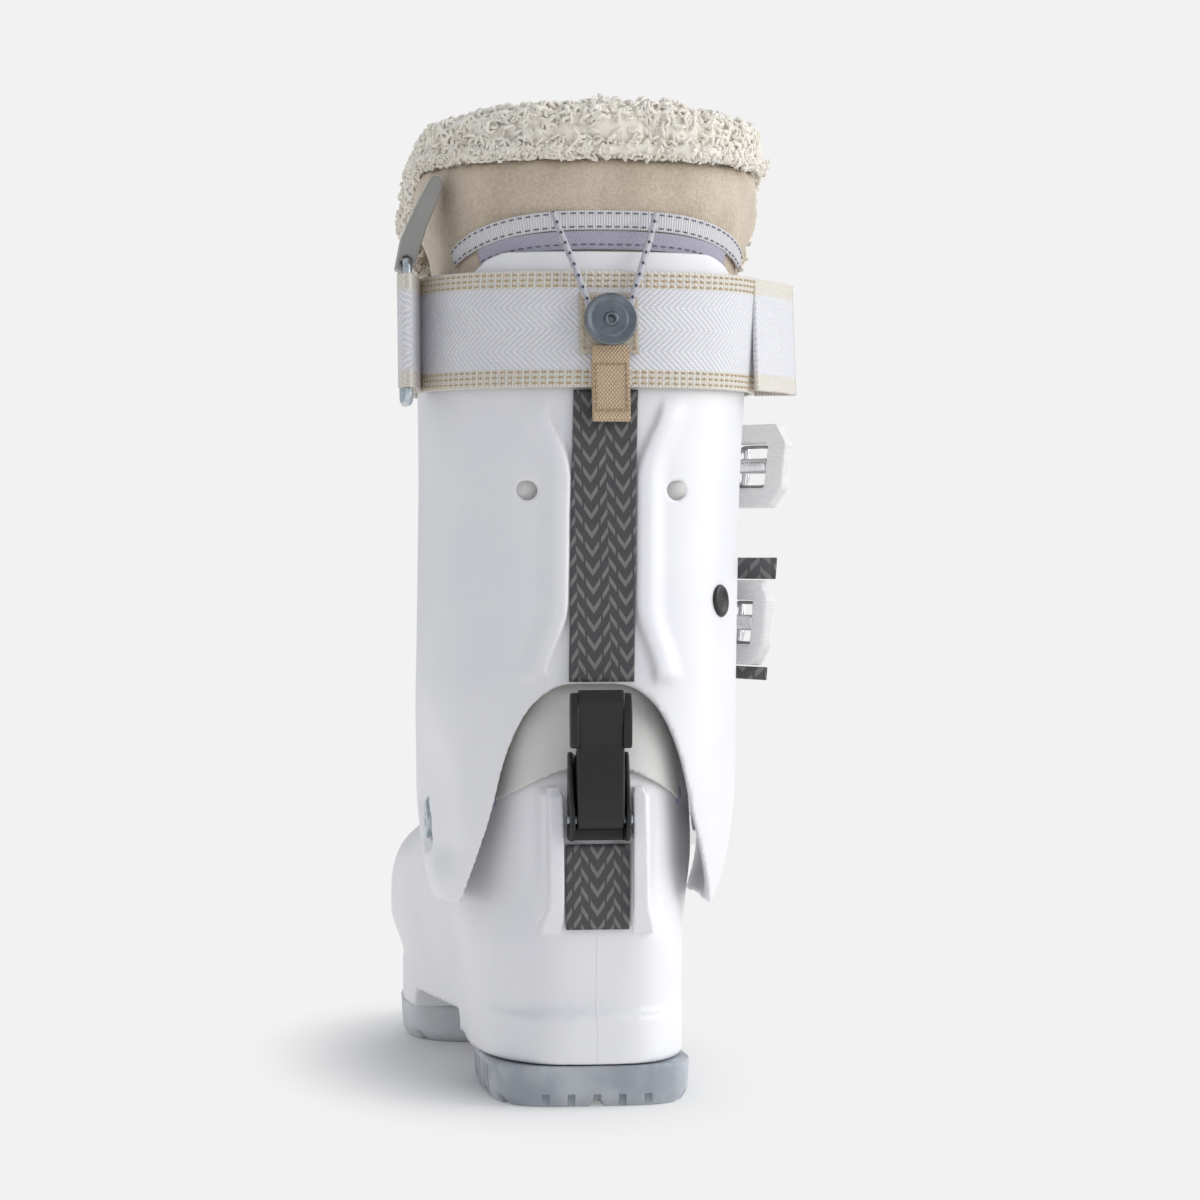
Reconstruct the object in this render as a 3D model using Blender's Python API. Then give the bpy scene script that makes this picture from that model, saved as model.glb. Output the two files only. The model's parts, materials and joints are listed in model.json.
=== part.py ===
"""An alpine ski boot for the right foot, opened from behind by a spine lever.

Lengths are millimetres until a mesh is made, where they become metres. In the boot's own
layout x runs to the lateral side, y runs from the back of the heel to the toe and z runs up
from the ground. FRAME then moves everything so that the origin is under the middle of the boot.
"""

import math

import bmesh
import bpy
import numpy as np
from mathutils import Matrix, Vector
from mathutils.bvhtree import BVHTree

MM = 0.001
GAP = 0.4
FRAME = Vector((-11.26, -137.8, 0.0))

SOLE_LENGTH = 286.0
RUBBER_TOP = 14.0
PAD_HALF_WIDTH = 34.5
BIND_LEDGE = 30.0
SHELL_FLOOR = 28.0
SHELL_TOP = 128.0
SHELL_WALL = 4.5

CUFF_BOTTOM = 64.0
CUFF_TOP = 281.0
CUFF_WALL = 4.0
PIVOT = Vector((0.0, 80.0, 90.0))
RIVET_RADIUS = 7.0
CUFF_SKIN_LATERAL = 54.0
CUFF_SKIN_MEDIAL = 50.6
CUFF_HOLE_RADIUS = 3.2
STRIP_HALF = 10.8
STRIP_THICK = 0.9
SPINE_LOW = 139.0
GASKET_HALF = 27.0
LEVER_PIN = Vector((0.0, -4.6, 95.0))
RING_HINGE = Vector((-57.6, 55.5, 257.5))
RING_TOP = 281.6
RING_WIRE = 1.6
CAM_HINGE = Vector((-57.6, 69.0, RING_TOP))

LINER_LOW = 156.0
LINER_TOP = 318.0
LINER_WALL = 9.0
STRAP_LOW = 237.0
STRAP_HIGH = 277.0
STUD_Z = 258.0
STRAP_LIFT = 1.6
STRAP_THICK = 1.8

# Each buckle: its pin, and the wire bail that hangs on its lever.
PIN_RADIUS = 1.5
BAIL_ALONG = 16.5
BAIL_HEIGHT = 11.2
BAIL_HALF = 6.4
BAIL_WIRE = 1.3
LADDER_SPANS = ((66, 104), (66, 104), (92, 128), (92, 128))

# How far the heel, the toe, the lateral side and the medial side lie at each height.
SHELL_REAR = ((14, 0), (30, 0), (30.01, 2.2), (60, 1.4), (80, 1.6), (100, 4), (115, 9), (128, 15))
SHELL_FRONT = ((14, 286), (30, 286), (30.01, 270), (45, 269), (58, 262), (68, 246), (76, 224),
               (84, 196), (92, 170), (100, 150), (110, 138), (120, 129), (128, 123))
LOW_LATERAL = ((0, 34.5), (30, 37), (50, 37), (90, 36.5), (130, 39), (165, 44), (200, 46), (240, 44),
               (286, 36))
LOW_MEDIAL = ((0, 34.5), (30, 38), (50, 38), (90, 36), (130, 39), (165, 45), (200, 48), (240, 45), (286, 36))
SHELL_LATERAL = ((0, 34.5), (40, 37), (80, 43), (115, 43), (160, 47), (200, 48), (240, 45), (286, 36))
SHELL_MEDIAL = ((0, 34.5), (40, 37), (80, 43), (115, 42), (160, 47), (200, 50), (240, 45), (286, 36))
CUFF_REAR = ((64, 3), (100, 3.5), (137, 7), (170, 12), (200, 18), (240, 25.5), (284, 34))
CUFF_FRONT = ((64, 140), (100, 146), (137, 150), (170, 154), (200, 158), (240, 163), (284, 170))
CUFF_HALF = ((64, 47.5), (76, 51.2), (90, 53.6), (104, 54.5), (137, 54.5), (200, 55), (240, 56.5),
             (284, 58.5))
# How far the cuff and the liner lean to the lateral side.
LEAN = ((64, 0), (120, 1.5), (180, 3.5), (240, 6), (285, 8.5), (320, 10), (340, 10.5))
LINER_REAR = ((150, 13.8), (200, 22.8), (240, 30.3), (284, 38.8), (300, 40), (318, 43))
LINER_FRONT = ((150, 146.2), (200, 153.2), (240, 158.2), (284, 165.2), (300, 172), (318, 178))
LINER_HALF = ((150, 49.6), (200, 50.2), (240, 51.7), (284, 53.7), (300, 58), (318, 59))

COLOURS = {
    "white_shell": ((0.86, 0.86, 0.88), 0.35, 0.0),
    "white_lever": ((0.88, 0.88, 0.87), 0.4, 0.0),
    "sole_rubber": ((0.55, 0.6, 0.65), 0.45, 0.0),
    "dark_strip": ((0.07, 0.07, 0.075), 0.5, 0.0),
    "black_lever": ((0.02, 0.02, 0.022), 0.35, 0.0),
    "gasket": ((0.66, 0.66, 0.65), 0.6, 0.0),
    "zinc": ((0.6, 0.63, 0.66), 0.3, 1.0),
    "chrome": ((0.8, 0.8, 0.82), 0.12, 1.0),
    "grey_plastic": ((0.33, 0.32, 0.31), 0.4, 0.0),
    "strap_web": ((0.82, 0.82, 0.84), 0.8, 0.0),
    "tan_web": ((0.52, 0.4, 0.27), 0.85, 0.0),
    "suede": ((0.6, 0.52, 0.42), 0.95, 0.0),
    "fur": ((0.82, 0.76, 0.66), 1.0, 0.0),
    "tape": ((0.8, 0.8, 0.82), 0.8, 0.0),
    "cord": ((0.8, 0.8, 0.84), 0.8, 0.0),
    "board": ((0.2, 0.2, 0.21), 0.7, 0.0),
}


def clear_scene():
    for item in list(bpy.data.objects):
        bpy.data.objects.remove(item, do_unlink=True)


def new_collection(name):
    made = bpy.data.collections.new(name)
    bpy.context.scene.collection.children.link(made)
    return made


def material(name):
    found = bpy.data.materials.get(name)
    if found:
        return found
    colour, roughness, metallic = COLOURS[name]
    made = bpy.data.materials.new(name)
    made.use_nodes = True
    shader = made.node_tree.nodes["Principled BSDF"]
    shader.inputs["Base Color"].default_value = (*colour, 1.0)
    shader.inputs["Roughness"].default_value = roughness
    shader.inputs["Metallic"].default_value = metallic
    return made


# Objects

def add_object(name, data, origin, slot):
    """Links an object whose data is already relative to origin, in metres."""
    made = bpy.data.objects.new(name, data)
    made.location = (Vector(origin) + FRAME) * MM
    if slot:
        data.materials.append(material(slot))
        PARTS.objects.link(made)
    else:
        made.hide_render = True
        made.display_type = "WIRE"
        CUTTERS.objects.link(made)
    return made


def finish_mesh(name, bm, slot, origin=(0, 0, 0)):
    bmesh.ops.recalc_face_normals(bm, faces=bm.faces)
    bmesh.ops.translate(bm, vec=-Vector(origin), verts=bm.verts)
    bmesh.ops.scale(bm, vec=(MM, MM, MM), verts=bm.verts)
    mesh = bpy.data.meshes.new(name)
    bm.to_mesh(mesh)
    bm.free()
    mesh.shade_smooth()
    mesh.set_sharp_from_angle(angle=math.radians(35))
    return add_object(name, mesh, origin, slot)


def wire(name, points, radius, slot, cyclic=False, origin=(0, 0, 0)):
    """A round wire or cord through the given points."""
    curve = bpy.data.curves.new(name, "CURVE")
    curve.dimensions = "3D"
    curve.bevel_depth = radius * MM
    curve.bevel_resolution = 2
    curve.use_fill_caps = True
    spline = curve.splines.new("POLY")
    spline.points.add(len(points) - 1)
    for target, point in zip(spline.points, points):
        target.co = (*((Vector(point) - Vector(origin)) * MM), 1.0)
    spline.use_cyclic_u = cyclic
    return add_object(name, curve, origin, slot)


def boolean(target, other, operation="DIFFERENCE"):
    modifier = target.modifiers.new(other.name, "BOOLEAN")
    modifier.operation = operation
    modifier.object = other


# Shapes

def smooth(table, value):
    """A smooth curve through (key, value) pairs that doesn't overshoot them."""
    keys = [key for key, _ in table]
    values = [number for _, number in table]
    if value <= keys[0]:
        return float(values[0])
    if value >= keys[-1]:
        return float(values[-1])
    slopes = [(b - a) / (q - p) for a, b, p, q in zip(values, values[1:], keys, keys[1:])]
    bends = [slopes[0]]
    for before, after in zip(slopes, slopes[1:]):
        bends.append(0.0 if before * after <= 0 else 2 * before * after / (before + after))
    bends.append(slopes[-1])
    place = max(i for i, key in enumerate(keys[:-1]) if key <= value)
    step = keys[place + 1] - keys[place]
    t = (value - keys[place]) / step
    return float((2 * t**3 - 3 * t**2 + 1) * values[place] + (t**3 - 2 * t**2 + t) * step * bends[place]
                 + (3 * t**2 - 2 * t**3) * values[place + 1] + (t**3 - t**2) * step * bends[place + 1])


def fade(value, low, high):
    """0 below low, 1 above high, smooth between them."""
    t = min(max((value - low) / (high - low), 0.0), 1.0)
    return t * t * (3 - 2 * t)


def outline_ring(z, rear, front, width, blunt, angles):
    """A closed ring seen from above, from the rear round the lateral side to the front and back."""
    middle = (rear + front) / 2
    half = (front - rear) / 2
    points = []
    for angle in angles:
        c = math.cos(angle)
        s = math.sin(angle)
        y = middle - half * math.copysign(abs(c) ** blunt, c)
        x = math.copysign(abs(s) ** blunt, s) * width(y, s)
        points.append(Vector((x, y, z)))
    return points


def even_angles(count):
    return [2 * math.pi * i / count for i in range(count)]


def shrunk(ring, wall):
    """The same ring moved inwards by a wall's thickness."""
    count = len(ring)
    moved = []
    for i, point in enumerate(ring):
        along = ring[(i + 1) % count] - ring[i - 1]
        inward = Vector((-along.y, along.x, 0)).normalized()
        moved.append(point + inward * wall)
    return moved


def loft(rings, closed=False):
    """Skins a row of rings. A closed row joins its last ring to its first one."""
    bm = bmesh.new()
    rows = [[bm.verts.new(point) for point in ring] for ring in rings]
    pairs = list(zip(rows, rows[1:]))
    if closed:
        pairs.append((rows[-1], rows[0]))
    for low, high in pairs:
        for i in range(len(low)):
            j = (i + 1) % len(low)
            bm.faces.new((low[i], low[j], high[j], high[i]))
    if not closed:
        bm.faces.new(rows[0][::-1])
        bm.faces.new(rows[-1])
    return bm


def box(low, high):
    bm = bmesh.new()
    bmesh.ops.create_cube(bm, size=1.0)
    size = Vector(high) - Vector(low)
    middle = (Vector(high) + Vector(low)) / 2
    bmesh.ops.scale(bm, vec=size, verts=bm.verts)
    bmesh.ops.translate(bm, vec=middle, verts=bm.verts)
    return bm


def cylinder(start, end, radius, sides=24, end_radius=None):
    start = Vector(start)
    axis = Vector(end) - start
    turn = Vector((0, 0, 1)).rotation_difference(axis).to_matrix().to_4x4()
    bm = bmesh.new()
    bmesh.ops.create_cone(bm, cap_ends=True, segments=sides, radius1=radius,
                          radius2=radius if end_radius is None else end_radius, depth=axis.length,
                          matrix=Matrix.Translation(start + axis / 2) @ turn)
    return bm


def prism(outline, origin, u, v, w, low, high):
    """A flat outline in the u, v plane, thick from low to high along w."""
    rings = [[origin + u * a + v * b + w * level for a, b in outline] for level in (low, high)]
    return loft(rings)


def ribbon(points, normals, width, thickness, lift=GAP, closed=False, across=None):
    """A flat band along points on a surface. across fixes the direction of its width."""
    count = len(points)
    sections = []
    for i, (point, normal) in enumerate(zip(points, normals)):
        before = points[i - 1] if i or closed else points[0]
        after = points[(i + 1) % count] if i < count - 1 or closed else points[-1]
        side = across or normal.cross(after - before).normalized()
        thick = thickness[i] if isinstance(thickness, (list, tuple)) else thickness
        low = point + normal * lift
        high = point + normal * (lift + thick)
        sections.append([low - side * width / 2, low + side * width / 2,
                         high + side * width / 2, high - side * width / 2])
    return loft(sections, closed)


def rounded(points, radius, cyclic=True, steps=3):
    """The same corners, each cut by a small curve."""
    count = len(points)
    made = []
    for i, point in enumerate(points):
        point = Vector(point)
        if not cyclic and i in (0, count - 1):
            made.append(point)
            continue
        back = Vector(points[i - 1]) - point
        ahead = Vector(points[(i + 1) % count]) - point
        start = point + back.normalized() * min(radius, back.length * 0.45)
        end = point + ahead.normalized() * min(radius, ahead.length * 0.45)
        for k in range(steps + 1):
            t = k / steps
            made.append(start * (1 - t) ** 2 + point * 2 * t * (1 - t) + end * t**2)
    return made


class Surface:
    """The outside of a lofted body, asked for its nearest point along a ray from outside."""

    REACH = 300.0

    def __init__(self, rings):
        points = [point for ring in rings for point in ring]
        count = len(rings[0])
        faces = []
        for row in range(len(rings) - 1):
            for i in range(count):
                j = (i + 1) % count
                faces.append((row * count + i, row * count + j, (row + 1) * count + j, (row + 1) * count + i))
        self.tree = BVHTree.FromPolygons(points, faces)

    def towards(self, centre, direction):
        """Where the surface lies as seen from outside, looking at centre against direction."""
        direction = Vector(direction).normalized()
        start = Vector(centre) + direction * self.REACH
        point, normal, _, _ = self.tree.ray_cast(start, -direction)
        if normal.dot(direction) < 0:
            normal = -normal
        return point, normal


# The lower shell, its soles and what lies in it

def shell_width(z, side_scale=1.0):
    """The half width at one height: wider at the ball of the foot on the medial side."""
    share = fade(z, 32, 80)
    ball = 4.5 * fade(z, 30, 48) * (1 - fade(z, 72, 96))

    def width(y, s):
        low = smooth(LOW_LATERAL if s >= 0 else LOW_MEDIAL, y)
        high = smooth(SHELL_LATERAL if s >= 0 else SHELL_MEDIAL, y)
        swell = 0.0 if s >= 0 else ball * fade(y, 120, 175)
        return (low + (high - low) * share) * side_scale + swell
    return width


def shell_blunt(z):
    """How square the outline is: a broad round heel at the sole, a slimmer one above it."""
    return 0.52 + 0.2 * fade(z, 50, 84)


def heel_ridge(x, z):
    """The two raised ridges that flank the strip on the heel."""
    across = fade(abs(x), STRIP_HALF, STRIP_HALF + 0.8) * (1 - fade(abs(x), 16.0, 19.5))
    along = fade(z, 56, 62) * (1 - fade(z, 100, 107))
    return 4.6 * across * along


def shell_ring(z):
    rear = smooth(SHELL_REAR, z)
    front = smooth(SHELL_FRONT, z)
    scale = 1.0 - 0.04 * fade(z, 76, 106)
    blunt = shell_blunt(z)
    steps = 12
    half = []
    for x in (0, 10.7, 11.7, 15.8, 19.6, 26):
        half.append(math.asin((x / PAD_HALF_WIDTH) ** (1 / blunt)) if x else 0.0)
    last = half[-1]
    half += [last + (math.pi - last) * (i + 1) / steps for i in range(steps)]
    angles = half + [2 * math.pi - angle for angle in half[-2:0:-1]]
    ring = outline_ring(z, rear, front, shell_width(z, scale), blunt, angles)
    for point in ring:
        if point.y < 40:
            point.y -= heel_ridge(point.x, z)
        if z <= BIND_LEDGE and (point.y < 30 or point.y > 262):
            point.x = max(-PAD_HALF_WIDTH, min(PAD_HALF_WIDTH, point.x))
    return ring


SHELL_LEVELS = (14, 30, 30.01, 45, 56, 61, 68, 76, 84, 92, 100, 106, 114, 121, 128)


def make_shell():
    outer = [shell_ring(z) for z in SHELL_LEVELS]
    inner = []
    for z in reversed(SHELL_LEVELS[3:]):
        ring = outline_ring(z, smooth(SHELL_REAR, z), min(smooth(SHELL_FRONT, z), 268),
                            shell_width(z, 1.0 - 0.04 * fade(z, 76, 106)), 0.72, even_angles(len(outer[0])))
        inner.append(shrunk(ring, SHELL_WALL))
    floor = outline_ring(SHELL_FLOOR, 8, 255, shell_width(SHELL_FLOOR, 0.84), 0.72, even_angles(len(outer[0])))
    inner.append(floor)
    shell = finish_mesh("lower_shell", loft(outer + inner), "white_shell")
    arch = finish_mesh("arch_cut", box((-80, 98, 0), (80, 172, 21)), None)
    boolean(shell, arch)
    for side in (-1, 1):
        hole = cylinder((side * 30, PIVOT.y, PIVOT.z), (side * 70, PIVOT.y, PIVOT.z), RIVET_RADIUS - 1.6)
        boolean(shell, finish_mesh(f"shell_pivot_cut_{side}", hole, None))
    return Surface(outer)


def make_sole(name, rear, front, heel):
    """A rubber pad with lugs, seen as an outline from above and stepped below."""
    rings = []
    for z, inset in ((0, 2.5), (3.0, 0.6), (RUBBER_TOP - GAP, 0.0)):
        ring = []
        for angle in even_angles(40):
            c = math.cos(angle)
            s = math.sin(angle)
            y = (rear + front) / 2 - (front - rear - 2 * inset) / 2 * math.copysign(abs(c) ** 0.5, c)
            wide = smooth(LOW_LATERAL if s >= 0 else LOW_MEDIAL, y) - inset
            limit = PAD_HALF_WIDTH - inset if y < 100 or y > 262 else wide
            ring.append(Vector((math.copysign(abs(s) ** 0.5, s) * min(wide, limit), y, z)))
        rings.append(ring)
    pad = finish_mesh(name, loft(rings), "sole_rubber")
    first = rear + 12 if heel else rear + 14
    for i in range(4 if heel else 5):
        groove = box((-80, first + i * 17, -1), (80, first + i * 17 + 3.2, 3.4))
        boolean(pad, finish_mesh(f"{name}_groove_{i}", groove, None))
    groove = box((-2.2, rear - 5, -1), (2.2, front + 5, 2.4))
    boolean(pad, finish_mesh(f"{name}_middle_groove", groove, None))
    for label, y in (("rear", rear + 24), ("front", front - 26)):
        counterbore = cylinder((0, y, -1), (0, y, 7), 5.4)
        boolean(pad, finish_mesh(f"{name}_counterbore_{label}", counterbore, None))
        screw = finish_mesh(f"{name}_screw_{label}", cylinder((0, y, 7 + GAP), (0, y, 10), 4.6), "zinc")
        pocket = cylinder((0, y, 6), (0, y, 10 + GAP), 5.0)
        boolean(pad, finish_mesh(f"{name}_screw_seat_{label}", pocket, None))
        slot = box((-3.6, y - 0.6, 6), (3.6, y + 0.6, 8.2))
        boolean(screw, finish_mesh(f"{name}_screw_slot_{label}", slot, None))


def make_foot_inner():
    """The board, the footbed and the liner's foot, one inside the other."""
    levels = (29, 34)
    board = [outline_ring(z, 13, 250, shell_width(z, 0.76), 0.72, even_angles(28)) for z in levels]
    finish_mesh("boot_board", loft(board), "board")
    outer = []
    inner = []
    for z in (35, 46, 60, 68, 76, 84, 92, 104, 118):
        ring = outline_ring(z, smooth(SHELL_REAR, z) + 1, min(smooth(SHELL_FRONT, z), 266) - 4,
                            shell_width(z, 0.99 - 0.04 * fade(z, 76, 106)), 0.72, even_angles(30))
        outer.append(shrunk(ring, SHELL_WALL + (3.2 if z < 40 else 1.6)))
        if z > 40:
            inner.append(shrunk(ring, SHELL_WALL + 6.6))
    inner.insert(0, [Vector((p.x, p.y, 40)) for p in inner[0]])
    finish_mesh("liner_foot", loft(outer + inner[::-1]), "suede")
    sole = [[Vector((p.x * 0.9, (p.y - 120) * 0.94 + 120, z)) for p in inner[0]] for z in (41, 44)]
    finish_mesh("insole", loft(sole), "board")


# The cuff

def spine_relief(x, z):
    """The lips on both sides of the channel that runs down the back of the cuff."""
    across = fade(abs(x), STRIP_HALF + 0.4, STRIP_HALF + 1.4) * (1 - fade(abs(x), 15.5, 22))
    return 2.0 * across * fade(z, 146, 156) * (1 - fade(z, 226, 236))


def leaning(ring):
    return [Vector((point.x + smooth(LEAN, point.z), point.y, point.z)) for point in ring]


def cuff_angles(half_width):
    half = []
    for x in (0, 11.2, 12.2, 15.5, 18.6, 22, 31, 41):
        half.append(math.asin((x / half_width) ** (1 / 0.82)) if x else 0.0)
    last = half[-1]
    half += [last + (math.pi - last) * (i + 1) / 12 for i in range(12)]
    return half + [2 * math.pi - angle for angle in half[-2:0:-1]]


def ankle_hollow(point):
    """How far the medial side is drawn in behind the ankle, so that its pivot faces a little rearwards."""
    if point.x > 0:
        return 0.0
    depth = min(0.0016 * max(0.0, 118 - point.y) ** 2, 6.0)
    return depth * fade(point.z, 66, 86) * (1 - fade(point.z, 98, 136)) * fade(point.y, 12, 50)


def cuff_ring(z, relief=0.0):
    half = smooth(CUFF_HALF, z)
    ring = outline_ring(z, smooth(CUFF_REAR, z), smooth(CUFF_FRONT, z), lambda y, s: half, 0.82,
                        cuff_angles(half))
    for point in ring:
        point.x += ankle_hollow(point)
        if point.y < 60:
            point.y -= relief * spine_relief(point.x, z)
    return leaning(ring)


def lower_sides(top, below):
    """Makes the cuff's top edge lower beside the spine than at it."""
    for i, point in enumerate(top):
        beside = abs(point.x - smooth(LEAN, CUFF_TOP))
        share = 8.0 * fade(beside, 40, 48) / (point.z - below[i].z)
        top[i] = point.lerp(below[i], share)


def make_cuff():
    levels = (CUFF_BOTTOM, 76, 90, 104, 120, 137, 146, 156, 178, 200, 226, 236, 260, CUFF_TOP)
    outer = [cuff_ring(z, relief=1.0) for z in levels]
    inner = [shrunk(cuff_ring(z), CUFF_WALL) for z in reversed(levels)]
    lower_sides(outer[-1], outer[-2])
    lower_sides(inner[0], inner[1])
    cuff = finish_mesh("cuff", loft(outer + inner, closed=True), "white_shell")

    # The V under the spine, as seen from behind.
    v_right = [(12, SPINE_LOW), (20, 128), (30, 112), (33.5, 96), (42, 66), (44, 50)]
    v_left = [(-x, z) for x, z in reversed(v_right)]
    flat = prism(v_right + v_left, Vector((0, -40, 0)), Vector((1, 0, 0)), Vector((0, 0, 1)),
                 Vector((0, 1, 0)), 0, 100)
    boolean(cuff, finish_mesh("cuff_v_cut", flat, None))

    # The low front edge, as seen from the side.
    low_front = [(86, 50), (92, 72), (103, 98), (122, 124), (138, 140), (160, 146), (190, 146), (190, 50)]
    flat = prism(low_front, Vector((-90, 0, 0)), Vector((0, 1, 0)), Vector((0, 0, 1)), Vector((1, 0, 0)),
                 0, 180)
    boolean(cuff, finish_mesh("cuff_front_cut", flat, None))
    boolean(cuff, finish_mesh("cuff_front_gap", box((-5, 120, 40), (3, 200, 300)), None))

    for side in (-1, 1):
        hole = cylinder((side * 40, PIVOT.y, PIVOT.z), (side * 70, PIVOT.y, PIVOT.z), RIVET_RADIUS + GAP)
        boolean(cuff, finish_mesh(f"cuff_pivot_cut_{side}", hole, None))
    for label, x, z in (("left", -20.5, 203.0), ("right", 29.5, 203.0)):
        hole = cylinder((x, -20, z), (x, 45, z), CUFF_HOLE_RADIUS, 16)
        boolean(cuff, finish_mesh(f"cuff_round_cut_{label}", hole, None))
    return Surface([cuff_ring(z) for z in levels])


def make_rivets():
    for name, side in (("pivot_rivet_medial", -1), ("pivot_rivet_lateral", 1)):
        skin = CUFF_SKIN_LATERAL if side > 0 else CUFF_SKIN_MEDIAL
        shank = cylinder((side * 44.0, PIVOT.y, PIVOT.z), (side * (skin - 3.9), PIVOT.y, PIVOT.z),
                         RIVET_RADIUS - 2.0)
        rivet = finish_mesh(name, shank, "zinc")
        head = cylinder((side * (skin - 4.2), PIVOT.y, PIVOT.z), (side * (skin - 0.8), PIVOT.y, PIVOT.z),
                        RIVET_RADIUS - 0.2)
        boolean(rivet, finish_mesh(f"{name}_head", head, None), "UNION")
        socket = cylinder((side * (skin - 2.8), PIVOT.y, PIVOT.z), (side * 60, PIVOT.y, PIVOT.z), 2.6, 6)
        boolean(rivet, finish_mesh(f"{name}_socket", socket, None))


# Spine

def make_strips(cuff):
    points, normals = [], []
    for z in (140, 158, 172, 186, 200, 214, 226, STRAP_LOW - 0.6):
        point, normal = cuff.towards((smooth(LEAN, z), 60, z), (0, -1, 0))
        points.append(point)
        normals.append(normal)
    across = Vector((1, 0, 0))
    film = ribbon(points, normals, 2 * STRIP_HALF, STRIP_THICK, across=across)
    finish_mesh("spine_strip", film, "dark_strip")
    points = [Vector((0, smooth(SHELL_REAR, z), z)) for z in (59, 68, 77, 86)]
    normals = [Vector((0, -1, 0))] * 4
    film = ribbon(points, normals, 2 * (STRIP_HALF - GAP), STRIP_THICK, lift=0.8, across=across)
    finish_mesh("heel_strip", film, "dark_strip")


def make_gasket():
    """The soft dome between the shell and the cuff."""
    sections = []
    for i in range(13):
        x = GASKET_HALF * (i - 6) / 6
        beside = (abs(x) / GASKET_HALF) ** 2
        low = 112 - 10 * beside
        top = 145 - 17 * beside
        back = []
        for z, thick in ((low, 2.0), ((low + 126) / 2, 2.4), ((126 + top) / 2, 2.2), (top, 2.0)):
            ring = shell_ring(z if z < SHELL_TOP else SHELL_TOP)
            near = [p for p in ring if p.y < 70]
            near.sort(key=lambda p: p.x)
            y = float(np.interp(x, [p.x for p in near], [p.y for p in near]))
            y += 2.5 * fade(z, 126, 134) + 3.5 * fade(z, 134, 146) - 1.5
            back.append((Vector((x, y, z)), thick))
        inner = [point for point, _ in back]
        outer = [point - Vector((0, thick, 0)) for point, thick in reversed(back)]
        sections.append(inner + outer)
    finish_mesh("rear_gasket", loft(sections), "gasket")


def make_spine_lever():
    """A black lever that pivots at its lower end between two rails on the heel."""
    pin = LEVER_PIN
    rail = [(1.6, 88), (-5.6, 88), (-8.4, 92), (-8.4, 99), (-5.0, 108), (-2.4, 117), (1.2, 117)]
    frame = None
    for side in (-1, 1):
        bm = prism(rail, Vector((side * 9.2, 0, 0)), Vector((0, 1, 0)), Vector((0, 0, 1)), Vector((1, 0, 0)),
                   -0.9, 0.9)
        if side < 0:
            frame = finish_mesh("lever_frame", bm, "black_lever")
        else:
            boolean(frame, finish_mesh("lever_rail", bm, None), "UNION")
    back = finish_mesh("lever_frame_back", box((-9.4, -0.6, 87.9), (9.4, 0.4, 116)), None)
    boolean(frame, back, "UNION")
    hole = cylinder((-20, pin.y, pin.z), (20, pin.y, pin.z), 2.0, 16)
    boolean(frame, finish_mesh("lever_frame_bore", hole, None))

    side_view = [(-0.95, 95), (-1.7, 92.8), (-3.4, 91.6), (-5.2, 91.5), (-7.3, 92.3), (-9.1, 95.0), (-9.6, 104),
                 (-9.0, 120), (-10.4, 134), (-9.8, 137), (-7.4, 137.6), (-3.6, 136), (-3.2, 118), (-1.4, 100)]
    lever = prism(side_view, Vector((0, 0, 0)), Vector((0, 1, 0)), Vector((0, 0, 1)), Vector((1, 0, 0)),
                  -7.8, 7.8)
    lever = finish_mesh("spine_lever", lever, "black_lever", origin=pin)
    hole = cylinder((-20, pin.y, pin.z), (20, pin.y, pin.z), 2.0, 16)
    boolean(lever, finish_mesh("spine_lever_bore", hole, None))
    finish_mesh("lever_pin", cylinder((-10.8, pin.y, pin.z), (10.8, pin.y, pin.z), 1.6, 16), "zinc")


# Strap, stud, cord and tab

def around(surface, z, centre_y, start, end, count):
    """Points and normals round a body at one height, by degrees from the lateral side to the front."""
    points, normals = [], []
    for i in range(count):
        angle = math.radians(start + (end - start) * i / (count - 1))
        point, normal = surface.towards((smooth(LEAN, z), centre_y, z), (math.cos(angle), math.sin(angle), 0))
        points.append(point)
        normals.append(Vector((normal.x, normal.y, 0)).normalized())
    return points, normals


def make_strap(cuff):
    """The webbing runs from the ring on the medial side, round the back and on to the front."""
    lows, normals = around(cuff, STRAP_LOW, 90, -168, 150, 54)
    highs, _ = around(cuff, STRAP_HIGH, 96, -168, 150, 54)
    sections = []
    for low, high, normal in zip(lows, highs, normals):
        inner = normal * STRAP_LIFT
        outer = normal * (STRAP_LIFT + STRAP_THICK)
        sections.append([low + inner, high + inner, high + outer, low + outer])
    finish_mesh("power_strap", loft(sections), "strap_web")


def rear_of(surface, x, z):
    point, normal = surface.towards((x, 60, z), (0, -1, 0))
    return point, normal


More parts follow.
